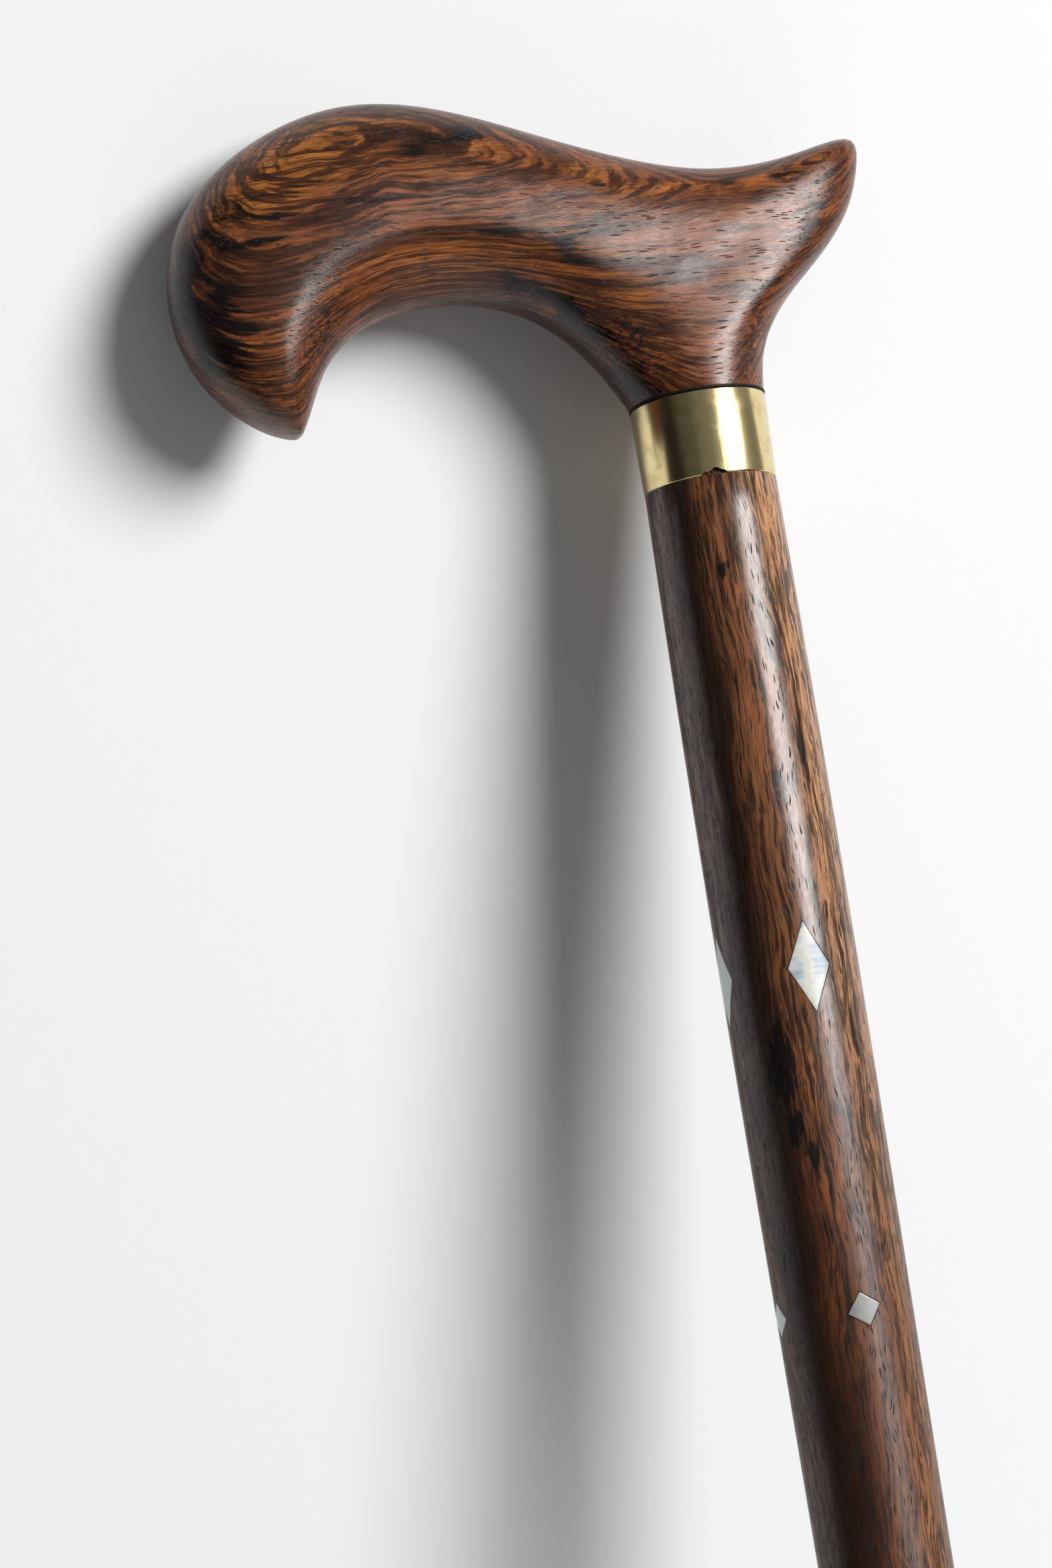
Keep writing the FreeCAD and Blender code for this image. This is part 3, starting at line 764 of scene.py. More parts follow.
@dataclass(frozen=True)
class Pearl(Finish):
    """Mother-of-pearl: cloudy layers from white through cream to blue grey, under a clear polish."""

    white: Triple = (0.62, 0.64, 0.62)
    cream: Triple = (0.60, 0.58, 0.46)
    blue: Triple = (0.34, 0.40, 0.46)
    blush: Triple = (0.54, 0.51, 0.49)
    # A pale, bluish painted reflection on the shaded left plates.
    left_painted_reflection: Triple = (0.88, 0.93, 0.92)
    smoky: Triple = (0.22, 0.215, 0.20)

    def paint(self, surface: Surface, effects: Effects) -> None:
        """Add the cloudy layers, smoky in the lower ring, with a pale, bluish painted reflection on the left
        plates.
        """
        across, _, up = surface.split(surface.place)
        drift = surface.noise(surface.place, (0.16, 0.16, 0.2), 1.5, 0.4, bend=0.15)
        sheets = surface.noise(surface.place, (0.07, 0.07, 1.5))
        tone = drift * 0.88 + sheets * 0.12
        colour = surface.ramp(tone.remap(0.36, 0.64, smooth=False), (
            (0.0, self.blue), (0.35, self.white), (0.55, self.cream), (0.7, self.white), (0.85, self.blush),
            (1.0, self.blue),
        ))
        surface.wire("Base Color", surface.layers(
            colour,
            (up.remap(716.0, 706.0, 0.0, 0.8), self.smoky),
            # The left plates get a pale, bluish painted reflection.
            (across.remap(-7.5, -10.5, 0.0, 0.92), self.left_painted_reflection),
        ))
        surface.wire("Roughness", sheets.remap(0.3, 0.7, self.roughness, self.roughness + 0.12))
        surface.wire("Normal", surface.bump(tone, 0.08))


@dataclass(frozen=True)
class PlainFinish(Finish):
    """One colour with a fine speckle, dulled where it is handled."""

    colour: Triple = (0.5, 0.5, 0.5)
    dulled: Triple = (0.5, 0.5, 0.5)
    relief: float = 0.02

    def paint(self, surface: Surface, effects: Effects) -> None:
        """Add the dulled clouds and the speckle."""
        used = surface.group(effects.wear, Place=surface.place, Cloud_Size=6.0, Scratch_Pitch=0.3)
        surface.wire("Base Color", surface.mix(used["Cloud"].remap(0.45, 0.7), self.colour, self.dulled))
        speckle = surface.noise(surface.place, 2.4, 3.0)
        surface.wire("Roughness", speckle.remap(0.3, 0.7, self.roughness * 0.85, self.roughness * 1.15))
        surface.wire("Normal", surface.bump(speckle, self.relief))


def deselect_all() -> None:
    """Leave nothing selected."""
    if bpy.context.mode != "OBJECT":
        bpy.ops.object.mode_set(mode="OBJECT")
    bpy.ops.object.select_all(action="DESELECT")


def pick(piece: Piece) -> None:
    """Select one piece alone and make it active."""
    deselect_all()
    bpy.context.view_layer.objects.active = piece
    piece.select_set(True)


@contextmanager
def editing(piece: Piece) -> Iterator[None]:
    """Edit one piece alone, all of it selected, and leave edit mode at the end."""
    pick(piece)
    bpy.ops.object.mode_set(mode="EDIT")
    bpy.ops.mesh.select_all(action="SELECT")
    yield
    bpy.ops.object.mode_set(mode="OBJECT")


def link(name: str, data: bpy.types.ID) -> bpy.types.Object:
    """Put a new object with some data into the scene."""
    item = bpy.data.objects.new(name, data)
    bpy.context.scene.collection.objects.link(item)
    return item


def add_outline(name: str, corners: int, fill: str = "NOTHING") -> Piece:
    """Add a round outline at the origin, to be shaped."""
    deselect_all()
    bpy.ops.mesh.primitive_circle_add(vertices=corners, radius=1.0, fill_type=fill, location=(0, 0, 0))
    piece = bpy.context.active_object
    piece.name = name
    return piece


def apply_modifier(piece: Piece, kind: str, **settings: object) -> None:
    """Add a modifier to a piece and apply it.

    Args:
        piece: The piece that gets the modifier.
        kind: The modifier's type.
        settings: Properties of the modifier by name.
    """
    pick(piece)
    modifier = piece.modifiers.new(kind.lower(), kind)
    for name, value in settings.items():
        setattr(modifier, name, value)
    bpy.ops.object.modifier_apply(modifier=modifier.name)


def round_edges(piece: Piece, width: float, segments: int, sharper_than: float) -> None:
    """Round a piece's edges, by a width in millimetres, where they are sharper than an angle in degrees."""
    apply_modifier(piece, "BEVEL", width=width * MM, segments=segments, limit_method="ANGLE",
                   angle_limit=math.radians(sharper_than))


def cut_away(piece: Piece, cutter: Piece) -> None:
    """Cut a block out of a piece and drop the block."""
    apply_modifier(piece, "BOOLEAN", operation="DIFFERENCE", solver="EXACT", object=cutter)
    bpy.data.objects.remove(cutter)


def grow(name: str, rings: Sequence[Ring], ending: Ending) -> Piece:
    """Grow a mesh from a circle by extruding its rim from ring to ring.

    Args:
        name: The piece's name.
        rings: Rings of points in metres, each with as many points as the first.
        ending: Whether the ends are capped or joined to each other.

    Returns:
        The piece, with its place in its mesh.
    """
    piece = add_outline(name, len(rings[0]))
    piece.data.name = name
    with editing(piece):
        mesh = bmesh.from_edit_mesh(piece.data)
        step = mesh.verts.layers.int.new("step")
        for index, vertex in enumerate(mesh.verts):
            vertex[step] = index
            vertex.co = rings[0][index]
        for ring in rings[1:]:
            bpy.ops.mesh.extrude_edges_move()
            mesh = bmesh.from_edit_mesh(piece.data)
            step = mesh.verts.layers.int["step"]
            for vertex in mesh.verts:
                if vertex.select:
                    vertex.co = ring[vertex[step]]
        mesh = bmesh.from_edit_mesh(piece.data)
        for edge in mesh.edges:
            edge.select_set(edge.is_boundary)
        bmesh.update_edit_mesh(piece.data)
        if ending is Ending.JOINED:
            bpy.ops.mesh.bridge_edge_loops()
        else:
            bpy.ops.mesh.edge_face_add()
        bpy.ops.mesh.select_all(action="SELECT")
        bpy.ops.mesh.normals_make_consistent(inside=False)
    piece.data.attributes.remove(piece.data.attributes["step"])
    return piece


def circle(radius: float, level: float, around: int) -> list[Vector]:
    """Return points on a level circle, in metres, from a radius and a level in millimetres."""
    turns = (2 * math.pi * index / around for index in range(around))
    return [Vector((radius * math.cos(turn), radius * math.sin(turn), level)) * MM for turn in turns]


def smooth_by_angle(piece: Piece, degrees: float) -> None:
    """Shade a piece smooth apart from edges sharper than an angle."""
    pick(piece)
    bpy.ops.object.shade_smooth_by_angle(angle=math.radians(degrees))


def dress(piece: Piece, material: Material, body: Body, slot: Slot, *nodes: str) -> None:
    """Give a new piece its material and body, and let it stand for CAD nodes.

    Args:
        piece: The piece.
        material: Its material.
        body: The body that it rides on.
        slot: The record's slot that its finish belongs to; not used.
        nodes: CAD nodes that it stands for.
    """
    piece.data.materials.clear()
    piece.data.materials.append(material)
    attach(piece, body.value)
    if nodes:
        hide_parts(*nodes)
    log.info("%s: %d faces", piece.name, len(piece.data.polygons))


class NaturalSpline:
    """A smooth curve through rows of numbers, spaced by the distance between their first four columns."""

    def __init__(self, rows: np.ndarray) -> None:
        """Fit the curve.

        Args:
            rows: One row of numbers for each place on the curve.
        """
        self.rows = rows
        steps = np.sqrt((np.diff(rows[:, :4], axis=0) ** 2).sum(axis=1))
        self.places = np.concatenate([[0.0], np.cumsum(steps)])
        count = len(rows)
        system = np.eye(count)
        target = np.zeros_like(rows)
        for index in range(1, count - 1):
            before, after = steps[index - 1], steps[index]
            system[index, index - 1:index + 2] = (before, 2 * (before + after), after)
            to_next, to_last = rows[index + 1] - rows[index], rows[index] - rows[index - 1]
            target[index] = 6 * (to_next / after - to_last / before)
        self.bends = np.linalg.solve(system, target)

    def at(self, place: float) -> np.ndarray:
        """Return the row at a place between zero and the last place."""
        index = int(np.clip(np.searchsorted(self.places, place) - 1, 0, len(self.places) - 2))
        width = self.places[index + 1] - self.places[index]
        right = (place - self.places[index]) / width
        left = 1.0 - right
        curved = (left ** 3 - left) * self.bends[index] + (right ** 3 - right) * self.bends[index + 1]
        return left * self.rows[index] + right * self.rows[index + 1] + curved * width ** 2 / 6


@dataclass
class Handle:
    """Carved derby handle with a spigot below, bored for the stud. Millimetres, as in the part's source."""

    foot_level: float
    foot_radius: float
    stud_top: float
    spigot_radius: float = 10.95
    spigot_length: float = 5.4
    spigot_edge: float = 0.2
    bore_radius: float = 4.05
    bore_edge: float = 0.3
    bore_drop: float = 0.2
    foot_edge: float = 0.08
    foot_drop: float = 0.01
    hump_height: float = 61.0
    beak_reach: float = 92.6
    tail_reach: float = 37.4
    palm_width: float = 28.0
    around: int = 44
    along: int = 76

    # Stations round the finger arch: arch x, arch z, back x, back z, half width, place of the widest line,
    # and the exponents of the half ovals towards the arch and the back, which give a full palm and a flat
    # neck between two ridges. X shares are of beak_reach left of the axis and of tail_reach right of it,
    # Z shares are of hump_height, and width shares are of half the palm's width.
    STATIONS = (
        (-0.782, 0.018, -0.797, 0.012, 0.20, 0.50, 2.0, 2.1),
        (-0.772, 0.045, -0.836, 0.036, 0.45, 0.48, 2.0, 2.1),
        (-0.757, 0.092, -0.890, 0.090, 0.66, 0.45, 2.0, 2.15),
        (-0.736, 0.160, -0.950, 0.185, 0.81, 0.42, 1.98, 2.2),
        (-0.709, 0.224, -0.991, 0.320, 0.90, 0.40, 1.95, 2.25),
        (-0.667, 0.285, -1.000, 0.490, 0.95, 0.39, 1.92, 2.25),
        (-0.614, 0.330, -0.956, 0.690, 0.98, 0.38, 1.9, 2.25),
        (-0.549, 0.358, -0.818, 0.880, 1.00, 0.37, 1.9, 2.25),
        (-0.480, 0.369, -0.615, 0.980, 1.00, 0.36, 1.92, 2.25),
        (-0.405, 0.361, -0.405, 0.932, 0.99, 0.36, 1.98, 2.3),
        (-0.334, 0.333, -0.220, 0.826, 0.97, 0.36, 2.1, 2.4),
        (-0.275, 0.287, -0.045, 0.733, 0.94, 0.36, 2.3, 2.6),
        (-0.233, 0.233, 0.250, 0.691, 0.91, 0.36, 2.5, 2.85),
        (-0.206, 0.188, 0.600, 0.707, 0.89, 0.35, 2.7, 3.05),
        (-0.189, 0.153, 0.870, 0.748, 0.88, 0.33, 2.8, 3.1),
        (-0.178, 0.130, 0.990, 0.750, 0.87, 0.32, 2.8, 3.1),
        (-0.170, 0.112, 0.983, 0.665, 0.87, 0.32, 2.8, 3.05),
        (-0.162, 0.090, 0.896, 0.530, 0.87, 0.34, 2.7, 2.95),
        (-0.153, 0.065, 0.728, 0.403, 0.87, 0.38, 2.55, 2.7),
        (-0.144, 0.036, 0.497, 0.265, 0.87, 0.43, 2.3, 2.4),
        (-0.136, 0.012, 0.352, 0.110, 0.87, 0.48, 2.1, 2.12),
    )

    def stations(self) -> np.ndarray:
        """Return the stations in millimetres, the foot circle last."""
        rows = []
        for arch_x, arch_z, back_x, back_z, width, *oval in self.STATIONS:
            back_reach = self.beak_reach if back_x < 0 else self.tail_reach
            rows.append((arch_x * self.beak_reach, arch_z * self.hump_height, back_x * back_reach,
                         back_z * self.hump_height, width * self.palm_width / 2, *oval))
        rows.append((-self.foot_radius, 0.0, self.foot_radius, 0.0, self.foot_radius, 0.5, 2.0, 2.0))
        return np.array(rows)

    def section(self, row: np.ndarray) -> list[Vector]:
        """Return one ring: two half ovals that meet along the widest line.

        Args:
            row: Arch and back point, half width, place of the widest line, and both ovals' exponents.

        Returns:
            The ring's points, in metres.
        """
        arch_x, arch_z, back_x, back_z, half_width, widest, arch_exponent, back_exponent = row
        ring = []
        for index in range(self.around):
            angle = 2 * math.pi * index / self.around
            cosine, sine = math.cos(angle), math.sin(angle)
            on_arch_side = cosine > 0
            power = 2 / (arch_exponent if on_arch_side else back_exponent)
            depth = widest if on_arch_side else 1 - widest
            along = widest - math.copysign(depth * abs(cosine) ** power, cosine)
            side = math.copysign(abs(sine) ** power, sine) * half_width
            ring.append(Vector((arch_x + (back_x - arch_x) * along, side,
                                self.foot_level + arch_z + (back_z - arch_z) * along)) * MM)
        return ring

    def carved_rings(self) -> list[Ring]:
        """Return the rings of the carving, from the beak's rounded tip to the foot circle."""
        curve = NaturalSpline(self.stations())
        length = curve.places[-1]
        rings = [self.section(curve.at(length * index / self.along)) for index in range(self.along + 1)]
        middle = sum(rings[0], Vector()) / len(rings[0])
        tip = [[middle.lerp(point, share) for point in rings[0]] for share in (0.2, 0.6)]
        return tip + rings

    def spigot_rings(self, foot: Ring) -> list[Ring]:
        """Return the rings below the foot circle and up the stud's bore, turned as the foot circle is."""
        turns = [math.atan2(point.y, point.x) for point in foot]
        spigot_foot = self.foot_level - self.spigot_length
        profile = (
            (self.foot_radius - self.foot_edge, self.foot_level - self.foot_drop),
            (self.spigot_radius, self.foot_level),
            (self.spigot_radius, self.foot_level - self.spigot_edge),
            (self.spigot_radius, spigot_foot + self.spigot_edge),
            (self.spigot_radius - self.spigot_edge, spigot_foot),
            (self.bore_radius + self.bore_edge, spigot_foot),
            (self.bore_radius, spigot_foot + self.bore_edge),
            (self.bore_radius, self.stud_top - self.bore_drop),
        )
        return [[Vector((radius * math.cos(turn), radius * math.sin(turn), level)) * MM for turn in turns]
                for radius, level in profile]

    def build(self, material: Material) -> Piece:
        """Carve the handle.

        Args:
            material: Its wood.

        Returns:
            The piece.
        """
        rings = self.carved_rings()
        piece = grow("handle_carved", rings + self.spigot_rings(rings[-1]), Ending.CAPPED)
        apply_modifier(piece, "SUBSURF", levels=1, render_levels=1)
        smooth_by_angle(piece, 40.0)
        dress(piece, material, Body.STICK, Slot.HANDLE, "handle")
        return piece


@dataclass
class ShaftProfile:
    """Outline of the turned shaft in millimetres: a hollow taper that rises into a swell below the collar."""

    shoulder_level: float
    tip_radius: float = 9.5
    shoulder_radius: float = 11.9
    swell_radius: float = 12.35
    swell_drop: float = 72.0
    seat_level: float = 38.0

    def radius(self, level: float) -> float:
        """Return the radius at a level, from two parabolas that meet with one slope."""
        swell_level = self.shoulder_level - self.swell_drop
        swell_bend = (self.swell_radius - self.shoulder_radius) / self.swell_drop ** 2
        rise = swell_level - self.seat_level
        growth = self.swell_radius - self.tip_radius
        taper_bend = swell_bend * growth / (swell_bend * rise ** 2 - growth)
        meeting = self.seat_level + rise * swell_bend / (swell_bend + taper_bend)
        if level >= meeting:
            return self.swell_radius - swell_bend * (level - swell_level) ** 2
        return self.tip_radius + taper_bend * max(0.0, level - self.seat_level) ** 2


@dataclass
class InlayRing:
    """Four rhombic plates let into the shaft at one level, one for each side. Millimetres and degrees."""

    name: str
    level: float
    length: float
    width: float
    profile: ShaftProfile
    twist_of_front: float = 0.0
    mortise_depth: float = 1.6
    mortise_slack: float = 0.06
    cutter_depth: float = 6.0
    glue_gap: float = 0.14
    proud: float = 0.015
    edge: float = 0.07
    cuts: int = 9

    SIDES = {"front": 0.0, "left": -90.0, "back": 180.0, "right": 90.0}

    @property
    def depth(self) -> float:
        """Return how thick a plate is."""
        return self.mortise_depth - self.glue_gap

    def flat_rhombus(self, name: str, trim: float) -> Piece:
        """Lay a rhombus of one face upright in front of the shaft, its middle at the world's origin.

        Args:
            name: The object's name.
            trim: What is taken off all round, in millimetres.

        Returns:
            The object.
        """
        piece = add_outline(name, 4, "NGON")
        upright = Matrix.Rotation(math.radians(90), 4, "X")
        half = Matrix.Diagonal(((self.width / 2 - trim) * MM, (self.length / 2 - trim) * MM, 1.0, 1.0))
        piece.data.transform(upright @ half)
        return piece

    def bend(self, mesh: bpy.types.Mesh) -> None:
        """Curve a plate's front to the shaft's surface, and set its floor at the mortise's depth."""
        floor = self.profile.swell_radius - self.mortise_depth + self.glue_gap
        front = min(vertex.co.y for vertex in mesh.vertices)
        for vertex in mesh.vertices:
            across, level = vertex.co.x / MM, self.level + vertex.co.z / MM
            share = (vertex.co.y - front) / (self.depth * MM)
            surface = math.sqrt(self.profile.radius(level) ** 2 - across ** 2) + self.proud
            vertex.co.y = -(surface + (floor - surface) * share) * MM
            vertex.co.z = level * MM

    def push_in(self, mesh: bpy.types.Mesh) -> None:
        """Set a cutter's back at the mortise's floor."""
        floor = self.profile.swell_radius - self.mortise_depth
        mesh.transform(Matrix.Translation((0.0, -(floor + self.cutter_depth / 2) * MM, self.level * MM)))

    def copies(self, blank: Piece, kind: str, settle: Callable[[bpy.types.Mesh], None]) -> dict[str, Piece]:
        """Set a copy of a blank at each side and drop the blank.

        Args:
            blank: What is copied, its middle at the world's origin.
            kind: What the copies are, for their names.
            settle: What moves a copy's mesh to its place at the front.

        Returns:
            The copies by side.
        """
        placed = {}
        for side, angle in self.SIDES.items():
            copy = link(f"{self.name}_{kind}_{side}", blank.data.copy())
            twist = self.twist_of_front if side == "front" else 0.0
            copy.data.transform(Matrix.Rotation(math.radians(twist), 4, "Y"))
            settle(copy.data)
            copy.data.transform(Matrix.Rotation(math.radians(angle), 4, "Z"))
            placed[side] = copy
        bpy.data.objects.remove(blank)
        return placed

    def build(self, material: Material) -> None:
        """Make the four plates of a pearl."""
        blank = self.flat_rhombus("plate_blank", self.glue_gap)
        with editing(blank):
            bpy.ops.mesh.subdivide(number_cuts=self.cuts)
        apply_modifier(blank, "SOLIDIFY", thickness=self.depth * MM, offset=-1.0)
        round_edges(blank, self.edge, segments=2, sharper_than=50.0)
        for side, plate in self.copies(blank, "plate", self.bend).items():
            smooth_by_angle(plate, 40.0)
            dress(plate, material, Body.STICK, Slot.PEARL, f"{self.name}_{side}")

    def cutters(self) -> list[Piece]:
        """Make the four blocks that the shaft's mortises are cut by."""
        block = self.flat_rhombus("mortise_block", -self.mortise_slack)
        apply_modifier(block, "SOLIDIFY", thickness=self.cutter_depth * MM, offset=0.0)
        return list(self.copies(block, "cutter", self.push_in).values())


@dataclass
class Shaft:
    """Turned shaft with its tenon, its stud bore and its mortises. Lengths in millimetres."""

    profile: ShaftProfile
    foot_level: float
    stud_foot: float
    tenon_radius: float = 10.95
    tenon_top: float = 853.3
    tenon_edge: float = 0.3
    bore_radius: float = 4.05
    bore_slack: float = 0.3
    tip_chamfer: float = 0.6
    around: int = 96
    steps: int = 128

    # The shoulder's broken edge, across and down.
    SHOULDER_EDGE = (0.08, 0.12)
    # Splinters that stand up at the front of the shoulder: turn from the front in degrees, and height.
    SPLINTERS = ((-20.6, 0.15), (-16.9, 0.45), (-13.1, 0.35), (-9.4, 0.95), (-5.6, 0.55), (-1.9, 0.2))
    SPLINTER_HALF_WIDTH = 1.8

    def splintered(self, ring: Ring) -> list[Vector]:
        """Raise a shoulder ring where the wood has splintered under the collar."""
        raised = []
        for point in ring:
            turn = math.degrees(math.atan2(point.x, -point.y))
            lift = max((height for place, height in self.SPLINTERS
                        if abs(turn - place) < self.SPLINTER_HALF_WIDTH), default=0.0)
            raised.append(point + Vector((0.0, 0.0, lift * MM)))
        return raised

    def build(self, material: Material, inlays: Sequence[InlayRing]) -> Piece:
        """Turn the shaft and cut its mortises.

        Args:
            material: Its wood.
            inlays: The rings of plates that are let into it.

        Returns:
            The piece.
        """
        shoulder = self.profile.shoulder_level
        edge_across, edge_down = self.SHOULDER_EDGE
        start = self.foot_level + self.tip_chamfer
        rings = [circle(self.profile.tip_radius - self.tip_chamfer, self.foot_level, self.around)]
        for index in range(self.steps + 1):
            level = start + (shoulder - edge_down - start) * index / self.steps
            rings.append(circle(self.profile.radius(level), level, self.around))
        for radius in (self.profile.radius(shoulder) - edge_across, self.tenon_radius):
            rings.append(self.splintered(circle(radius, shoulder, self.around)))
        rings += [circle(radius, level, self.around) for radius, level in (
            (self.tenon_radius, self.tenon_top - self.tenon_edge),
            (self.tenon_radius - self.tenon_edge, self.tenon_top),
            (self.bore_radius, self.tenon_top),
            (self.bore_radius, self.stud_foot - self.bore_slack),
        )]
        piece = grow("shaft_turned", rings, Ending.CAPPED)
        for cutter in [block for ring in inlays for block in ring.cutters()]:
            cut_away(piece, cutter)
        smooth_by_angle(piece, 35.0)
        dress(piece, material, Body.STICK, Slot.SHAFT, "shaft")
        return piece


@dataclass
class TurnedRing:
    """A turned ring with rounded edges, such as the collar or the spacer. Profile in millimetres."""

    name: str
    profile: Profile
    edge: float
    around: int = 128

    def build(self, material: Material, slot: Slot, node: str) -> Piece:
        """Turn the ring.

        Args:
            material: Its finish.
            slot: The record's slot.
            node: The CAD node that it stands for.

        Returns:
            The piece.
        """
        rings = [circle(radius, level, self.around) for radius, level in self.profile]
        piece = grow(self.name, rings, Ending.JOINED)
        round_edges(piece, self.edge, segments=2, sharper_than=20.0)
        smooth_by_angle(piece, 30.0)
        dress(piece, material, Body.STICK, slot, node)
        return piece


@dataclass
class Collar:
    """Brass collar with both outer edges broken and a nick over the splintered shoulder. In millimetres."""

    foot_level: float
    top_level: float
    foot_radius: float = 12.0
    top_radius: float = 12.3
    bore_radius: float = 11.0
    edge: float = 0.25
    fine_edge: float = 0.06

    # Corners of the nick in the lower edge, across and above the foot; its cutter's middle and thickness.
    NICK = ((-5.0, -0.5), (-4.7, 0.1), (-4.1, 0.55), (-3.5, 0.5), (-2.9, 0.75), (-2.4, 1.15), (-1.7, 1.05),
            (-1.2, 0.7), (-0.6, 0.55), (-0.1, 0.1), (0.1, -0.5))
    NICK_MIDDLE = -12.4
    NICK_DEPTH = 6.4

    def nick_cutter(self) -> Piece:
        """Make the block that cuts the nick: its outline drawn upright, pulled through the wall."""
        cutter = add_outline("nick_cutter", len(self.NICK), "NGON")
        for vertex, (across, rise) in zip(cutter.data.vertices, self.NICK):
            vertex.co = Vector((across, self.NICK_MIDDLE, self.foot_level + rise)) * MM
        apply_modifier(cutter, "SOLIDIFY", thickness=self.NICK_DEPTH * MM, offset=0.0)
        with editing(cutter):
            bpy.ops.mesh.normals_make_consistent(inside=False)
        return cutter

    def build(self, material: Material) -> Piece:
        """Turn the collar and cut its nick.

        Args:
            material: Its brass.

        Returns:
            The piece.
        """
        ring = TurnedRing("collar_turned", (
            (self.bore_radius, self.foot_level),
            (self.foot_radius - self.edge, self.foot_level),
            (self.foot_radius, self.foot_level + self.edge),
            (self.top_radius, self.top_level - self.edge),
            (self.top_radius - self.edge, self.top_level),
            (self.bore_radius, self.top_level),
        ), self.fine_edge)
        piece = ring.build(material, Slot.BRASS, "collar")
        cut_away(piece, self.nick_cutter())
        smooth_by_angle(piece, 30.0)
        return piece


@dataclass
class Ferrule:
    """Rubber ferrule in millimetres: wide ringed foot, grooved tread, cup with a lip round the tip."""

    height: float
    base_radius: float = 16.5
    base_height: float = 10.0
    step_rise: float = 5.0
    cup_radius: float = 12.3
    lip_height: float = 4.0
    lip_step: float = 0.8
    bore_radius: float = 9.55
    floor: float = 8.0
    edge: float = 0.7
    foot_edge: float = 0.5
    middle_radius: float = 1.2
    tread_depth: float = 1.5
    fine_edge: float = 0.3
    around: int = 96

    # Inner and outer radius of the tread's two grooves; foot, top and depth of the groove round the foot; and
    # how far the cup's flare goes out and down.
    TREAD_GROOVES = ((4.0, 6.4), (9.2, 11.6))
    RING_GROOVE = (4.3, 5.7, 0.8)
    FLARE = (1.0, 1.6)

    def profile(self) -> Profile:
        """Return the outline from the tread's middle disc round to the cup's floor."""
        outline = [(self.middle_radius, 0.0)]
        for inner, outer in self.TREAD_GROOVES:
            outline += [(inner, 0.0), (inner, self.tread_depth), (outer, self.tread_depth), (outer, 0.0)]
        groove_foot, groove_top, groove_depth = self.RING_GROOVE
        groove = self.base_radius - groove_depth
        flare_out, flare_down = self.FLARE
        lip = self.cup_radius + self.lip_step
        lip_foot = self.height - self.lip_height
        cup_foot = self.base_height + self.step_rise
        return outline + [
            (self.base_radius - self.foot_edge, 0.0), (self.base_radius, self.foot_edge),
            (self.base_radius, groove_foot), (groove, groove_foot), (groove, groove_top),
            (self.base_radius, groove_top), (self.base_radius, self.base_height - self.edge),
            (self.base_radius - self.edge, self.base_height),
            (self.cup_radius + flare_out, cup_foot - flare_down), (self.cup_radius, cup_foot),
            (self.cup_radius, lip_foot), (lip, lip_foot), (lip, self.height - self.edge),
            (lip - self.edge, self.height), (self.bore_radius, self.height), (self.bore_radius, self.floor),
            (self.middle_radius, self.floor),
        ]

    def build(self, material: Material) -> Piece:
        """Mould the ferrule.

        Args:
            material: Its rubber.

        Returns:
            The piece.
        """
        rings = [circle(radius, level, self.around) for radius, level in self.profile()]
        piece = grow("ferrule_moulded", rings, Ending.CAPPED)
        round_edges(piece, self.fine_edge, segments=3, sharper_than=25.0)
        smooth_by_angle(piece, 40.0)
        dress(piece, material, Body.FOOT, Slot.RUBBER, "ferrule")
        return piece


@dataclass
class PhotoCamera:
    """Camera at the photograph's viewing angle. Degrees, and metres from the foot of the stick."""

    azimuth: float = -13.5
    elevation: float = -7.31
    roll: float = -8.76
    place: Triple = (-0.1880, -0.6077, 0.7137)
    focal_pixels: float = 5352.0
    image_height: int = 2337
    sensor: float = 36.0

    def axes(self) -> Matrix:
        """Return the camera's right, up and back directions as columns."""
        turn, lift, roll = (math.radians(angle) for angle in (self.azimuth, self.elevation, self.roll))
        back = Vector((math.sin(turn) * math.cos(lift), -math.cos(turn) * math.cos(lift), math.sin(lift)))
        level = Vector((math.cos(turn), math.sin(turn), 0.0))
        rise = back.cross(level)
        right = math.cos(roll) * level + math.sin(roll) * rise
        up = -math.sin(roll) * level + math.cos(roll) * rise
        return Matrix((right, up, back)).transposed()

    def build(self) -> None:
        """Place the camera and make it the scene's."""
        data = bpy.data.cameras.new("photo_camera")
        data.sensor_fit = "VERTICAL"
        data.sensor_height = self.sensor
        data.lens = self.focal_pixels * self.sensor / self.image_height
        data.clip_start = 0.01
        camera = link("photo_camera", data)
        camera.matrix_world = Matrix.Translation(self.place) @ self.axes().to_4x4()
        bpy.context.scene.camera = camera


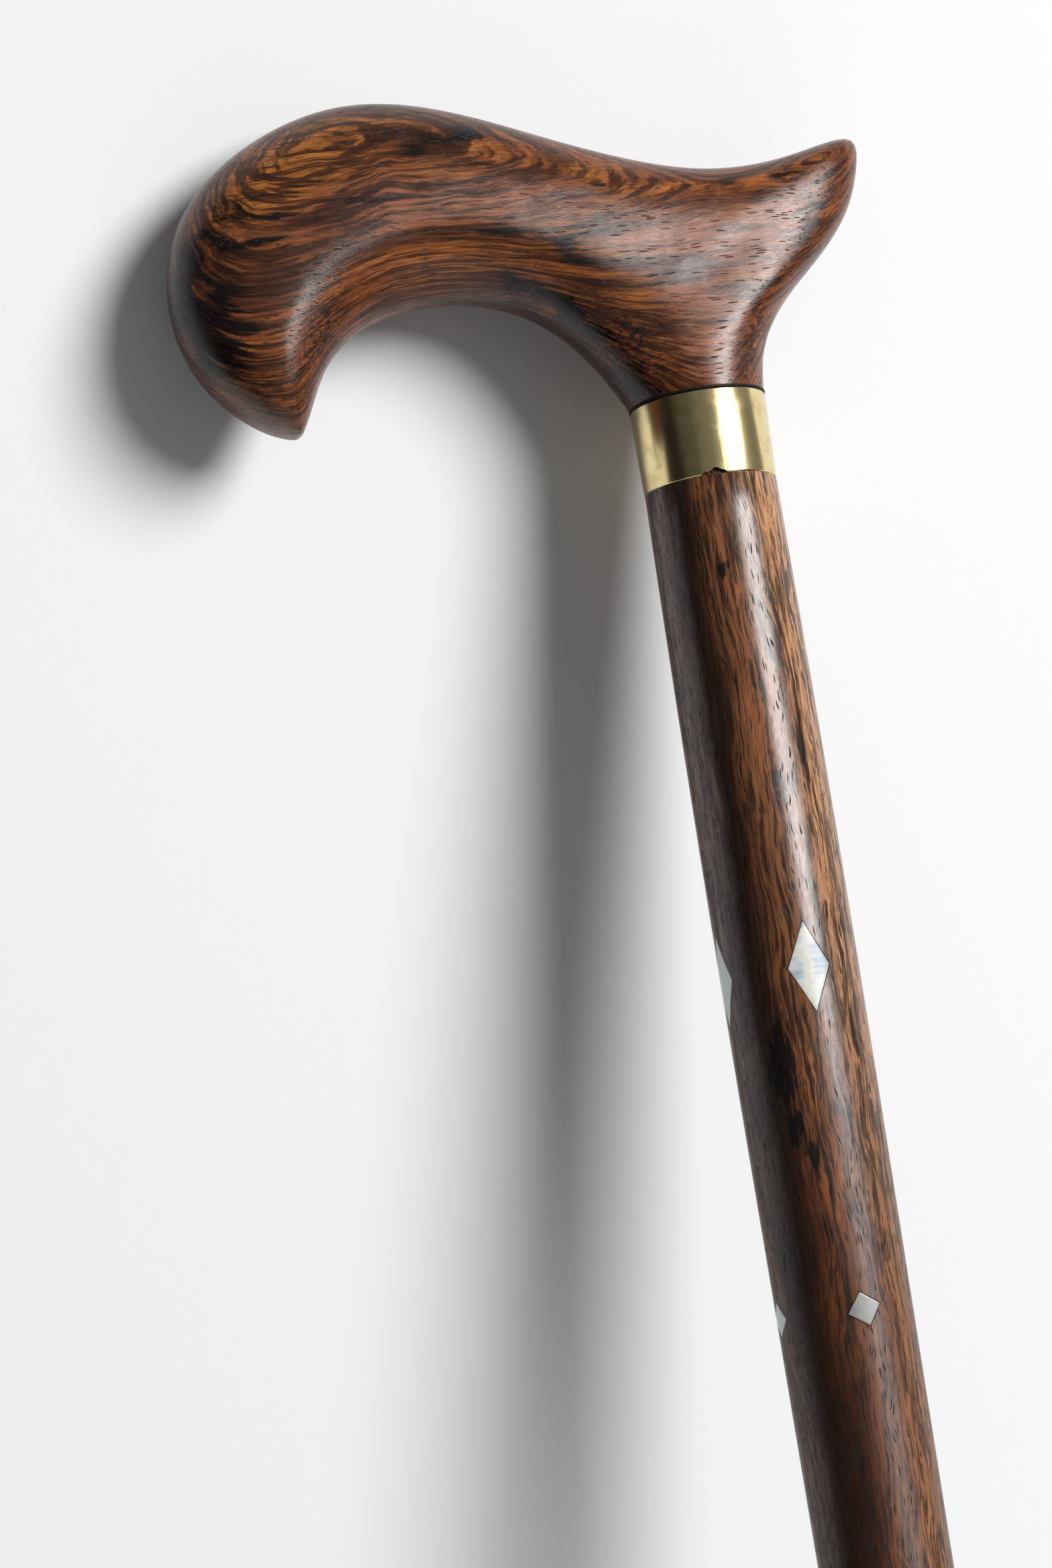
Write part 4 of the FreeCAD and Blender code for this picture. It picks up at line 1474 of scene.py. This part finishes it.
@dataclass
class Studio:
    """White wall that the handle leans on, pale floor, a soft key light from the upper right, faint fill."""

    camera: PhotoCamera
    middle: Triple = (0.0, 0.0, 0.86)
    # The wall's normal, and a point on it: it passes just behind the palm and falls back towards the floor.
    wall_normal: Triple = (0.025, -0.9763, -0.215)
    wall_gap: float = 0.0178
    wall_level: float = 0.885
    wall_width: float = 2.6
    wall_top: float = 1.4
    key_direction: Triple = (0.683, 0.348, 0.643)
    key_distance: float = 2.6
    key_size: float = 1.25
    key_power: float = 82.0
    floor_width: float = 1.0
    floor_front: float = 0.5
    backdrop: Triple = (0.9, 0.905, 0.92)

    WALL_SHADES = ((0.855, 0.862, 0.876), (0.872, 0.877, 0.888))
    FLOOR_SHADES = ((0.80, 0.80, 0.81), (0.84, 0.84, 0.85))
    # The room's light against the cosine of the angle from the key light: a soft halo in a dim room.
    ROOM = (
        (-1.0, 0.006), (-0.1, 0.015), (0.15, 0.085), (0.45, 0.10), (0.64, 0.18), (0.8, 0.17), (1.0, 0.22),
    )

    def on_wall(self, across: float, level: float) -> Vector:
        """Return the point of the wall's plane at a place across and a level."""
        normal = Vector(self.wall_normal).normalized()
        centre = Vector((0.0, 0.0, self.wall_level)) - normal * self.wall_gap
        rest = normal.x * (across - centre.x) + normal.z * (level - centre.z)
        return Vector((across, centre.y - rest / normal.y, level))

    def panel(self, surface: Surface, corner: Callable[[float, bool], Vector]) -> None:
        """Stage a panel.

        Args:
            surface: Its material's graph.
            corner: What gives a corner for minus or plus one across, and for being at the far side.
        """
        deselect_all()
        bpy.ops.mesh.primitive_plane_add(size=2.0)
        panel = bpy.context.active_object
        panel.name = surface.material.name
        for vertex in panel.data.vertices:
            vertex.co = corner(vertex.co.x, vertex.co.y > 0)
        panel.data.materials.append(surface.material)

    def wall(self) -> None:
        """Stand the wall behind the stick, its foot on the floor's back edge. It is clear from behind."""
        surface = Surface("white_wall", Roughness=1.0, Specular_IOR_Level=0.0)
        plaster = surface.noise(surface.place, 0.4, 4.0, 0.6)
        surface.wire("Base Color", surface.mix(plaster, *self.WALL_SHADES))
        behind = surface.add("ShaderNodeNewGeometry").outputs["Backfacing"]
        clear = surface.add("ShaderNodeBsdfTransparent").outputs[0]
        sources = (behind, surface.shader.outputs[0], clear)
        choice = surface.put(surface.add("ShaderNodeMixShader"),
                             {place: Field(surface, source) for place, source in enumerate(sources)})
        surface.feed(surface.tree.nodes["Material Output"].inputs["Surface"], choice)
        self.panel(surface, lambda side, far: self.on_wall(side * self.wall_width / 2,
                                                           self.wall_top if far else 0.0))

    def floor_corner(self, side: float, far: bool) -> Vector:
        """Return a corner of the floor, which goes as far back as the wall."""
        across = side * self.floor_width / 2
        return Vector((across, self.on_wall(across, 0.0).y if far else -self.floor_front, 0.0))

    def floor(self) -> None:
        """Lay the floor under the ferrule."""
        surface = Surface("pale_floor", Roughness=0.9)
        grain = surface.noise(surface.place, 0.2, 4.0, 0.6)
        surface.wire("Base Color", surface.mix(grain, *self.FLOOR_SHADES))
        self.panel(surface, self.floor_corner)

    def towards_key(self) -> Vector:
        """Return the direction from the stick to the key light."""
        return (self.camera.axes() @ Vector(self.key_direction)).normalized()

    def key(self) -> None:
        """Hang the key light."""
        direction = self.towards_key()
        data = bpy.data.lights.new("key_light", "AREA")
        data.shape = "DISK"
        data.size = self.key_size
        data.energy = self.key_power
        lamp = link("key_light", data)
        lamp.location = Vector(self.middle) + direction * self.key_distance
        lamp.rotation_mode = "QUATERNION"
        lamp.rotation_quaternion = (-direction).to_track_quat("-Z", "Y")

    def surroundings(self) -> None:
        """Light the stick from a dim room with a halo round the key, and show white to the camera."""
        world = bpy.data.worlds.new("studio")
        bpy.context.scene.world = world
        world.use_nodes = True
        graph = Graph(world.node_tree)
        seen = Field(graph, graph.add("ShaderNodeLightPath").outputs["Is Camera Ray"])
        outward = Field(graph, graph.add("ShaderNodeTexCoord").outputs["Generated"])
        facing = graph.vector("DOT_PRODUCT", outward, self.towards_key())
        stops = [((cosine + 1) / 2, (level, level, level)) for cosine, level in self.ROOM]
        room = graph.ramp(facing.remap(-1.0, 1.0, smooth=False), stops)
        graph.put(world.node_tree.nodes["Background"],
                  {"Color": graph.mix(seen, room, self.backdrop), "Strength": 1.0})

    def build(self) -> None:
        """Set up wall, floor and light."""
        self.wall()
        self.floor()
        self.key()
        self.surroundings()


def make_finishes() -> dict[Slot, Material]:
    """Make one material for each of the record's slots."""
    effects = Effects(fibre_group(), pore_group(), zone_group(), wear_group())
    finishes = {
        Slot.HANDLE: HandleWood(roughness=0.25, ior=1.43),
        Slot.SHAFT: ShaftWood(roughness=0.25, ior=1.45),
        Slot.BRASS: Brass(roughness=0.19, metallic=1.0),
        Slot.FIBRE: PlainFinish(
            roughness=0.6, ior=1.3, colour=(0.006, 0.0055, 0.005), dulled=(0.012, 0.011, 0.010)),
        Slot.STEEL: PlainFinish(
            roughness=0.3, metallic=1.0, colour=(0.56, 0.57, 0.58), dulled=(0.44, 0.44, 0.45)),
        Slot.PEARL: Pearl(roughness=0.36, coat=0.12, coat_roughness=0.2),
        Slot.RUBBER: PlainFinish(
            roughness=0.7, colour=(0.020, 0.020, 0.021), dulled=(0.045, 0.044, 0.043), relief=0.05),
    }
    return {slot: finish.build(slot.value, effects) for slot, finish in finishes.items()}


def make_pieces(finishes: dict[Slot, Material]) -> None:
    """Make the pieces that stand for CAD nodes, each where the node is."""
    collar_low, collar_high = (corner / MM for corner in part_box("collar"))
    spacer_low, spacer_high = (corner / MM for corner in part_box("spacer"))
    stud_low, stud_high = (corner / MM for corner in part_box("joining_stud"))
    shaft_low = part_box("shaft")[0] / MM
    ferrule_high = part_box("ferrule")[1] / MM

    collar = Collar(collar_low.z, collar_high.z)
    profile = ShaftProfile(collar_low.z)
    inlays = (
        InlayRing("large_inlay", collar_low.z - LARGE_INLAY_DROP, length=16.2, width=7.8, profile=profile),
        InlayRing("small_inlay", collar_low.z - SMALL_INLAY_DROP, length=6.3, width=6.3, profile=profile,
                  twist_of_front=-10.0),
    )
    Handle(spacer_high.z, collar_high.x, stud_high.z).build(finishes[Slot.HANDLE])
    TurnedRing("spacer_turned", (
        (collar.bore_radius, spacer_low.z), (spacer_high.x, spacer_low.z),
        (spacer_high.x, spacer_high.z), (collar.bore_radius, spacer_high.z),
    ), SPACER_EDGE).build(finishes[Slot.FIBRE], Slot.FIBRE, "spacer")
    collar.build(finishes[Slot.BRASS])
    Shaft(profile, shaft_low.z, stud_low.z).build(finishes[Slot.SHAFT], inlays)
    for ring in inlays:
        ring.build(finishes[Slot.PEARL])
    Ferrule(ferrule_high.z).build(finishes[Slot.RUBBER])


def main() -> None:
    """Build the stick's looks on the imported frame."""
    logging.basicConfig(level=logging.INFO, format="%(name)s: %(message)s")
    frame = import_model()
    bpy.context.scene.view_settings.view_transform = "Standard"

    finishes = make_finishes()
    slots = {part["node"]: Slot(part["material_slot"]) for part in frame["record"]["subparts"]}
    for name, node in frame["nodes"].items():
        node.data.materials.clear()
        node.data.materials.append(finishes[slots[name]])
    make_pieces(finishes)

    camera = PhotoCamera()
    camera.build()
    Studio(camera).build()


if __name__ == "__main__":
    main()
